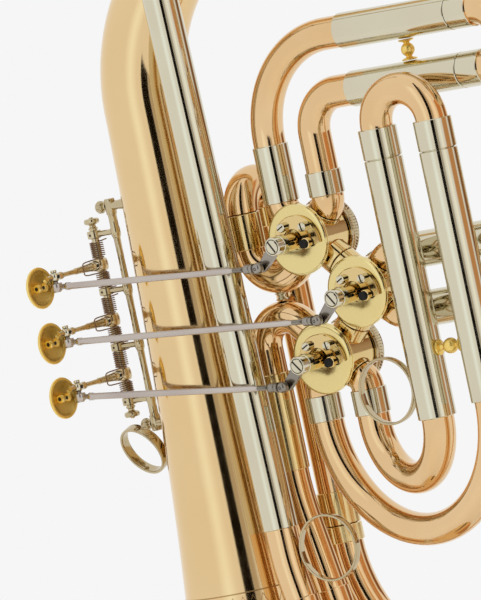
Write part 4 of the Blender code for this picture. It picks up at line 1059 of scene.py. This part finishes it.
def show_rod(number):
    """The link: an eye at the key, the satin bar, a threaded end with its nut, and the ball socket."""
    left, ball = rod_ends(number)
    way = (ball - left).normalized()
    length = (ball - left).length
    shape = Shape()
    bore = 1.0 + GAP
    shape.turned(mirrored((bore, 1.5), (2.3, 1.5), (2.5, 1.3)), left, Z, "satin", 36, closed=True)
    points = [(1.1, 2.0), (1.1, 4.6), (1.6, 5.2), (1.6, 6.8), (1.35, 7.4), (1.35, length - 14.5),
        (1.1, length - 14.0), (1.0, length - 12.6)]
    # The thread, nut and socket are in steel darkened partly as painted shade
    thread = []
    for k in range(13):
        thread += [(1.12, length - 12.6 + k * 0.45, "steel"), (0.86, length - 12.4 + k * 0.45, "steel")]
    socket = [(1.1, length - 6.6), (1.9, length - 6.4), (1.9, length - 4.4), (1.6, length - 4.1),
        (2.0, length - 3.3), (2.1, length - 2.2), (0, length - 1.4)]
    outline = points + thread + [q + ("steel",) for q in socket]
    shape.turned(outline, left, way, "satin", 28)
    stud = [(0, -2.4), (0.9, -2.3), (1.7, -1.8), (2.2, -1.0), (2.4, 0), (2.2, 0.9), (1.6, 1.6), (1.2, 1.9),
        (1.2, ARM_FRONT - ROD_BALL_Y - STUD_CLEAR), (0, ARM_FRONT - ROD_BALL_Y - STUD_CLEAR)]
    # The ball stud is in steel darkened partly as painted shade
    shape.turned(stud, ball, Y, "steel", 36)
    # The stud's centre hole is painted shade
    add_painted_hole_shade(shape, ball - Y * 2.3, -Y, 0.75)
    shape.piece(f"rod_{number}", "link", 50)


def show_spring(number):
    """A double torsion spring: two coils on the axle and one loop over the key's arm."""
    axis = key_axis(number)
    way = key_way()
    side = Z.cross(way)
    beside = 2.95 + SPRING_WIRE_R + GAP
    per_turn = 20

    def coil(sign):
        points = []
        for k in range(SPRING_TURNS * per_turn + 1):
            angle = 2 * pi * k / per_turn
            spoke = cos(angle) * side + sin(angle) * way
            points.append(
                axis + SPRING_COIL_R * spoke + Z * sign * (SPRING_START + SPRING_PITCH * k / per_turn))
        return points

    upper = coil(1)
    lower = coil(-1)
    reach_up = [axis + side * beside + way * (SPRING_HOOK - 2) + Z * (SPRING_START - 0.3),
        axis + side * beside + way * (SPRING_HOOK - 0.5) + Z * 2.4,
        axis + side * beside + way * SPRING_HOOK + Z * 1.9]
    reach_down = [mm(p.x, p.y, 2 * axis.z - p.z) for p in reach_up]
    points = [upper[-1] + way * -3.6 + Z * 0.3] + upper[::-1] + reach_up
    points += reach_down[::-1] + lower + [lower[-1] + way * -3.6 - Z * 0.3]
    stations = []
    for k, point in enumerate(points):
        ahead = points[min(k + 1, len(points) - 1)] - points[max(k - 1, 0)]
        stations.append((point, ahead.normalized(), SPRING_WIRE_R, "spring"))
    shape = Shape()
    rings = shape.sweep(stations, 10)
    shape.cap(rings[0], "spring")
    shape.cap(rings[-1], "spring")
    shape.piece(f"key_spring_{number}", "wire", 60)


def show_axle():
    top = POST_HEIGHTS[0] + 1.8
    low = POST_HEIGHTS[-1] - 1.8
    knob = [(1.6, 0.3), (1.9, 0.3), (2.0, 0.6), (1.9, 1.0), (1.4, 1.3), (1.3, 2.0), (1.7, 2.3), (2.8, 2.7),
        (3.1, 3.0), (3.2, 3.6), (3.1, 4.3), (2.7, 4.7), (2.3, 4.6), (1.4, 4.2), (1.1, 4.6), (0.8, 5.3),
        (0, 5.3)]
    points = [(r, low - s) for r, s in reversed(knob)] + [(r, top + s) for r, s in knob]
    Shape().turned(points, VALVE_1 + AXLE, Z, "rail", 36).piece("key_axle", "pin", 45)


def rail_axis():
    return VALVE_1 + mm(RAIL_X, AXLE.y, 0)


def foot_heights():
    return POST_HEIGHTS[0] + FOOT_BEYOND_POST, POST_HEIGHTS[-1] - FOOT_BEYOND_POST


def show_rail():
    """The bar beside the axle with its posts, rings and the two feet on the bell's stem."""
    axis = rail_axis()
    upper, lower = foot_heights()
    points = [(0, lower - 3), (1.9, lower - 3), (2.2, lower - 2.7), (2.2, lower + 3.2), (1.8, lower + 3.8)]
    for k in (3, 2, 1, 0):
        post = POST_HEIGHTS[k]
        points += [(1.8, post - 1.9), (2.0, post - 1.3), (2.0, post + 1.3), (1.8, post + 1.9)]
        if k:
            points += [(1.45, post + 2.9), (1.3, (post + POST_HEIGHTS[k - 1]) / 2),
                (1.45, POST_HEIGHTS[k - 1] - 2.9)]
    points += [(1.8, upper - 3.8), (2.2, upper - 3.2), (2.2, upper + 2.7), (1.9, upper + 3), (0, upper + 3)]
    shape = Shape().turned(points, axis, Z, "rail", 32)
    bore = AXLE_R + 0.2
    for post in POST_HEIGHTS:
        middle = VALVE_1 + AXLE + Z * post
        shape.turned(mirrored((bore, 1.6), (2.6, 1.6), (2.9, 1.3)), middle, Z, "rail", 36, closed=True)
        shape.rod(middle + X * 2.4, mm(axis.x, axis.y, middle.z), 1.2, "rail", 20)
        # The hole on each ring's front is painted shade: a small dark disc
        shape.turned([(0.5, 0), (0, 0.05)], middle - Y * 2.9, -Y, "slot", 16)
    for height in foot_heights():
        level = VALVE_1.z + height
        start = mm(axis.x, axis.y, level)
        reach = abs(start.x) - bell_radius(level) - GAP
        foot = [(1.9, 0), (1.9, reach * 0.5), (2.3, reach * 0.72), (2.8, reach), (0, reach)]
        shape.turned(foot, start, X, "rail", 28)
    shape.piece("key_rail", "bar", 40)


def show_thumbscrews():
    for name, height in zip(("thumbscrew_upper", "thumbscrew_lower"), foot_heights()):
        place = rail_axis() + Z * height - X * 2.2
        points = [(0, 0), (1.3, 0), (1.3, 1.0), (2.0, 1.3), (2.2, 1.6), (2.2, 4.0), (1.9, 4.4), (1.3, 4.7),
            (0, 4.7)]
        shape = Shape().turned(points, place, -X, "rail", 36)
        add_knurl(shape, place - X * 1.7, -X, 2.2, 2.2, 0.35, 22, "rail")
        shape.piece(name, "head")


# Braces and rings


def show_ball_brace(node, start, end):
    """A turned ball on two short posts, with a spun flange at each end."""
    length = (end - start).length
    half = length / 2
    ball = min(3.2, half * 0.62)
    points = [(0, 0.3), (3.0, 0.3), (3.2, 0.5), (3.1, 0.8), (2.4, 1.1), (1.5, 1.4), (1.2, 1.7)]
    for k in range(1, 12):
        angle = pi * k / 12
        points.append((max(ball * sin(angle), 1.2), half - ball * cos(angle)))
    points += [(r, length - s) for r, s in reversed(points[:7])]
    shape = Shape().turned(points, start, end - start, "gilt", 40)
    shape.piece(node, "ball", 50)


def show_braces():
    drop = BOW_TOP_1 + BOW_OUT_1
    upper = spot(67.0, 10.8, drop - SLEEVE_R)
    lower = spot(67.0, 10.8, (drop - 2 * LEG) + SLEEVE_R)
    show_ball_brace("slide_1_brace", lower, upper)
    near = VALVE_1 + SLIDE_3_NEAR + mm(0, 0, -50.8)
    show_ball_brace("slide_3_brace", near + X * WIDE_R, near + X * (SLIDE_3_WIDTH - WIDE_R))


def show_ring(node, middle, axis, radius, width, thick=1.1, finish="silver"):
    """A finger ring of rounded wire, wider than it is thick."""
    points = []
    for k in range(24):
        across, along = cos(2 * pi * k / 24), sin(2 * pi * k / 24)
        points.append((radius - thick / 2 + thick / 2 * copysign(abs(across) ** 0.5, across),
            width / 2 * copysign(abs(along) ** 0.5, along)))
    Shape().turned(points, middle, axis, finish, 96, closed=True).piece(node, "band", 60)


def show_rings():
    level = VALVE_1.z - 74.1
    side = level_way(192.9)
    middle = side * (bell_radius(level) + 11.5) + Z * level
    show_ring("thumb_ring", middle, Vector((0.2, 0.88, 0.42)), 11.2, 4.2, 1.3, "rail")
    ring_r = 13.8
    middle = VALVE_1 + SLIDE_3_NEAR - X * (WIDE_R + GAP + ring_r) + mm(0, 0, -64.9)
    show_ring("slide_3_ring", middle, Y, ring_r, 3.4, 1.1, "rail")
    side = level_way(5)
    middle = leadpipe_place(-123.4) + side * (TUBE_R + 0.5 + ring_r)
    show_ring("little_finger_ring", middle, side.cross(Z), ring_r, 3.4, 1.1, "rail")


def show_small_braces():
    points = [(0, 0), (2.5, 0), (2.6, 0.2), (1.6, 0.9), (1.35, 1.35), (1.6, 1.8), (2.6, 2.5), (2.5, 2.7),
        (0, 2.7)]
    Shape().turned(points, spot(-22.0, 10.8, -23.4), Z, "silver", 32).piece("bow_brace", "post")
    at = VALVE_1 + LEADPIPE_AT
    choices = []
    for k in range(60):
        place, _, radius = bell_bow_station(pi * k / 120)
        foot = at + LEADPIPE_LEAN * (place - at).dot(LEADPIPE_LEAN)
        choices.append(((place - foot).length - radius, foot, place))
    apart, foot, place = min(choices, key=lambda choice: choice[0])
    way = (place - foot).normalized()
    length = (apart - SLEEVE_R) - 0.4
    points = [(0, 0), (3.1, 0), (3.2, 0.2), (2.4, 0.7), (2.0, length / 2), (2.4, length - 0.7),
        (3.2, length - 0.2), (3.1, length), (0, length)]
    Shape().turned(points, foot + way * (SLEEVE_R + 0.2), way, "silver", 32).piece("leadpipe_brace", "post")


# Stage, light and camera

BACKGROUND = (0.921, 0.921, 0.921, 1)


def stage_plane(name, middle, facing, width, height, material):
    """A flat card centred on a place and facing another."""
    mesh = bmesh.new()
    mesh.loops.layers.uv.new("card")
    bmesh.ops.create_grid(mesh, x_segments=1, y_segments=1, size=0.5, calc_uvs=True)
    bmesh.ops.scale(mesh, vec=Vector((width, height, 1)), verts=mesh.verts)
    turn = (facing - middle).to_track_quat("Z", "Y").to_matrix().to_4x4()
    bmesh.ops.transform(mesh, matrix=Matrix.Translation(middle) @ turn, verts=mesh.verts)
    data = bpy.data.meshes.new(name)
    mesh.to_mesh(data)
    mesh.free()
    data.materials.append(material)
    thing = bpy.data.objects.new(name, data)
    bpy.context.scene.collection.objects.link(thing)
    return thing


def glow(name, colour, fade):
    """A card's even glow, fading into the background over a share of its width at each side."""
    made = bpy.data.materials.new(name)
    made.use_nodes = True
    tree = made.node_tree
    tree.nodes.remove(tree.nodes["Principled BSDF"])
    light = tree.nodes.new("ShaderNodeEmission")
    parts = tree.nodes.new("ShaderNodeSeparateXYZ")
    feed(tree, parts, {0: coordinates(tree, "UV")})
    side = maths(tree, "MINIMUM", parts.outputs["X"], maths(tree, "SUBTRACT", 1.0, parts.outputs["X"]))
    feed(tree, light, {"Color": mix_colour(tree, spread(tree, side, 0.0, fade, 0.0, 1.0), BACKGROUND,
        colour)})
    feed(tree, tree.nodes["Material Output"], {"Surface": light.outputs[0]})
    return made


def floor_material():
    """Pale paper near the object, fading into the plain background further out."""
    made, tree, shader = base_material("studio_paper", 0.0)
    where = coordinates(tree)
    grain = noise(tree, where, 180.0)
    feed(tree, shader, {"Base Color": mix_colour(tree, grain, (0.86, 0.86, 0.85, 1), (0.89, 0.89, 0.88, 1)),
        "Roughness": 0.9})
    light = tree.nodes.new("ShaderNodeEmission")
    feed(tree, light, {"Color": BACKGROUND})
    far = tree.nodes.new("ShaderNodeVectorMath")
    far.operation = "LENGTH"
    feed(tree, far, {0: where})
    mixer = tree.nodes.new("ShaderNodeMixShader")
    feed(tree, mixer, {0: spread(tree, far.outputs["Value"], 0.35, 0.85, 0.0, 1.0), 1: shader.outputs[0],
        2: light.outputs[0]})
    feed(tree, tree.nodes["Material Output"], {"Surface": mixer.outputs[0]})
    return made


def make_world():
    world = bpy.data.worlds.new("studio")
    world.use_nodes = True
    tree = world.node_tree
    back = tree.nodes["Background"]
    rays = tree.nodes.new("ShaderNodeLightPath")
    seen = maths(tree, "ADD", rays.outputs["Is Camera Ray"], rays.outputs["Is Glossy Ray"], True)
    seen = maths(tree, "ADD", seen, rays.outputs["Is Transmission Ray"], True)
    feed(tree, back, {"Color": mix_colour(tree, seen, (0.80, 0.80, 0.80, 1), BACKGROUND)})
    bpy.context.scene.world = world
    bpy.context.scene.view_settings.view_transform = "Standard"


CAMERA_AZIMUTH = 39.0
CAMERA_ELEVATION = 3.5
CAMERA_ROLL = 11.9
CAMERA_DISTANCE = 6.0
CAMERA_AIM = mm(49.5, -28.8, 271.2) * METRES


def camera_way():
    """The direction from the aim point towards the camera."""
    turn, lift = radians(CAMERA_AZIMUTH), radians(CAMERA_ELEVATION)
    return Vector((sin(turn) * cos(lift), -cos(turn) * cos(lift), sin(lift)))


def make_camera():
    data = bpy.data.cameras.new("camera")
    data.sensor_width = 36.0
    data.lens = 900.0
    data.clip_end = 30.0
    thing = bpy.data.objects.new("camera", data)
    back = camera_way()
    turn = back.to_track_quat("Z", "Y")
    roll = Matrix.Rotation(radians(-CAMERA_ROLL), 4, "Z")
    thing.matrix_world = Matrix.Translation(CAMERA_AIM + back * CAMERA_DISTANCE) @ turn.to_matrix().to_4x4(
        ) @ roll
    bpy.context.scene.collection.objects.link(thing)
    bpy.context.scene.camera = thing


def around(azimuth, height, distance):
    """A place round the object; azimuth 0 is the camera's side."""
    turn = radians(CAMERA_AZIMUTH + azimuth)
    return CAMERA_AIM + Vector((sin(turn) * distance, -cos(turn) * distance, height))


def area_light(name, place, size, power):
    """A square lamp aimed at the object, which metal doesn't mirror."""
    data = bpy.data.lights.new(name, "AREA")
    data.shape = "RECTANGLE"
    data.size = data.size_y = size
    data.energy = power
    thing = bpy.data.objects.new(name, data)
    turn = (CAMERA_AIM - place).to_track_quat("-Z", "Y").to_matrix().to_4x4()
    thing.matrix_world = Matrix.Translation(place) @ turn
    thing.visible_glossy = False
    bpy.context.scene.collection.objects.link(thing)


def make_stage():
    stage_plane("floor", Vector((0, 0, -0.0005)), Vector((0, 0, 1)), 30.0, 30.0, floor_material())
    for name, azimuth, distance, width, height, colour, fade in (
            ("flag_front", -1, 2.2, 0.72, 16.0, (0.006, 0.004, 0.002, 1), 0.05),
            ("flag_margin", 11, 2.25, 0.90, 9.0, (0.50, 0.45, 0.38, 1), 0.3),
            ("softbox_left", -38, 2.3, 1.40, 5.0, (1.07, 1.17, 1.23, 1), 0.45),
            ("softbox_right", 36, 2.3, 0.85, 5.0, (1.12, 1.12, 1.08, 1), 0.4),
            ("card_right", 72, 2.2, 1.60, 2.6, (0.62, 0.30, 0.12, 1), 0.2),
            ("card_far_right", 114, 2.2, 1.60, 1.5, (0.26, 0.11, 0.035, 1), 0.3)):
        material = glow(name + "_glow", colour, fade)
        card = stage_plane(name, around(azimuth, 0.0, distance), CAMERA_AIM, width, height, material)
        card.visible_camera = card.visible_shadow = card.visible_diffuse = False
    area_light("key_light", around(-35, 1.6, 3.0), 2.4, 17.0)
    area_light("fill_light", around(70, 1.2, 3.0), 2.4, 15.0)
    area_light("top_light", CAMERA_AIM + Z * 2.6, 2.6, 19.0)


def dress_solids():
    """Give each CAD node the finish of its material slot."""
    finishes = {"rose_brass": "rose", "gold_brass": "gold", "yellow_brass": "yellow",
        "nickel_silver": "silver", "gilt": "gilt", "rod_nickel": "satin", "spring_bronze": "spring"}
    for node, slot in SLOTS.items():
        for place in bpy.data.objects[node].material_slots:
            place.material = FINISHES[finishes[slot]]


def build():
    dress_solids()
    show_bell()
    show_bell_bow()
    show_return_tube()
    show_branch()
    show_valves()
    show_slide_1()
    show_slide_2()
    show_slide_3()
    show_leadpipe()
    show_receiver()
    show_mouthpiece()
    for number in (1, 2, 3):
        show_lever(number)
        show_finger_plate(number)
        show_rod(number)
        show_spring(number)
    show_axle()
    show_rail()
    show_thumbscrews()
    show_braces()
    show_rings()
    show_small_braces()
    make_world()
    make_stage()
    make_camera()


build()
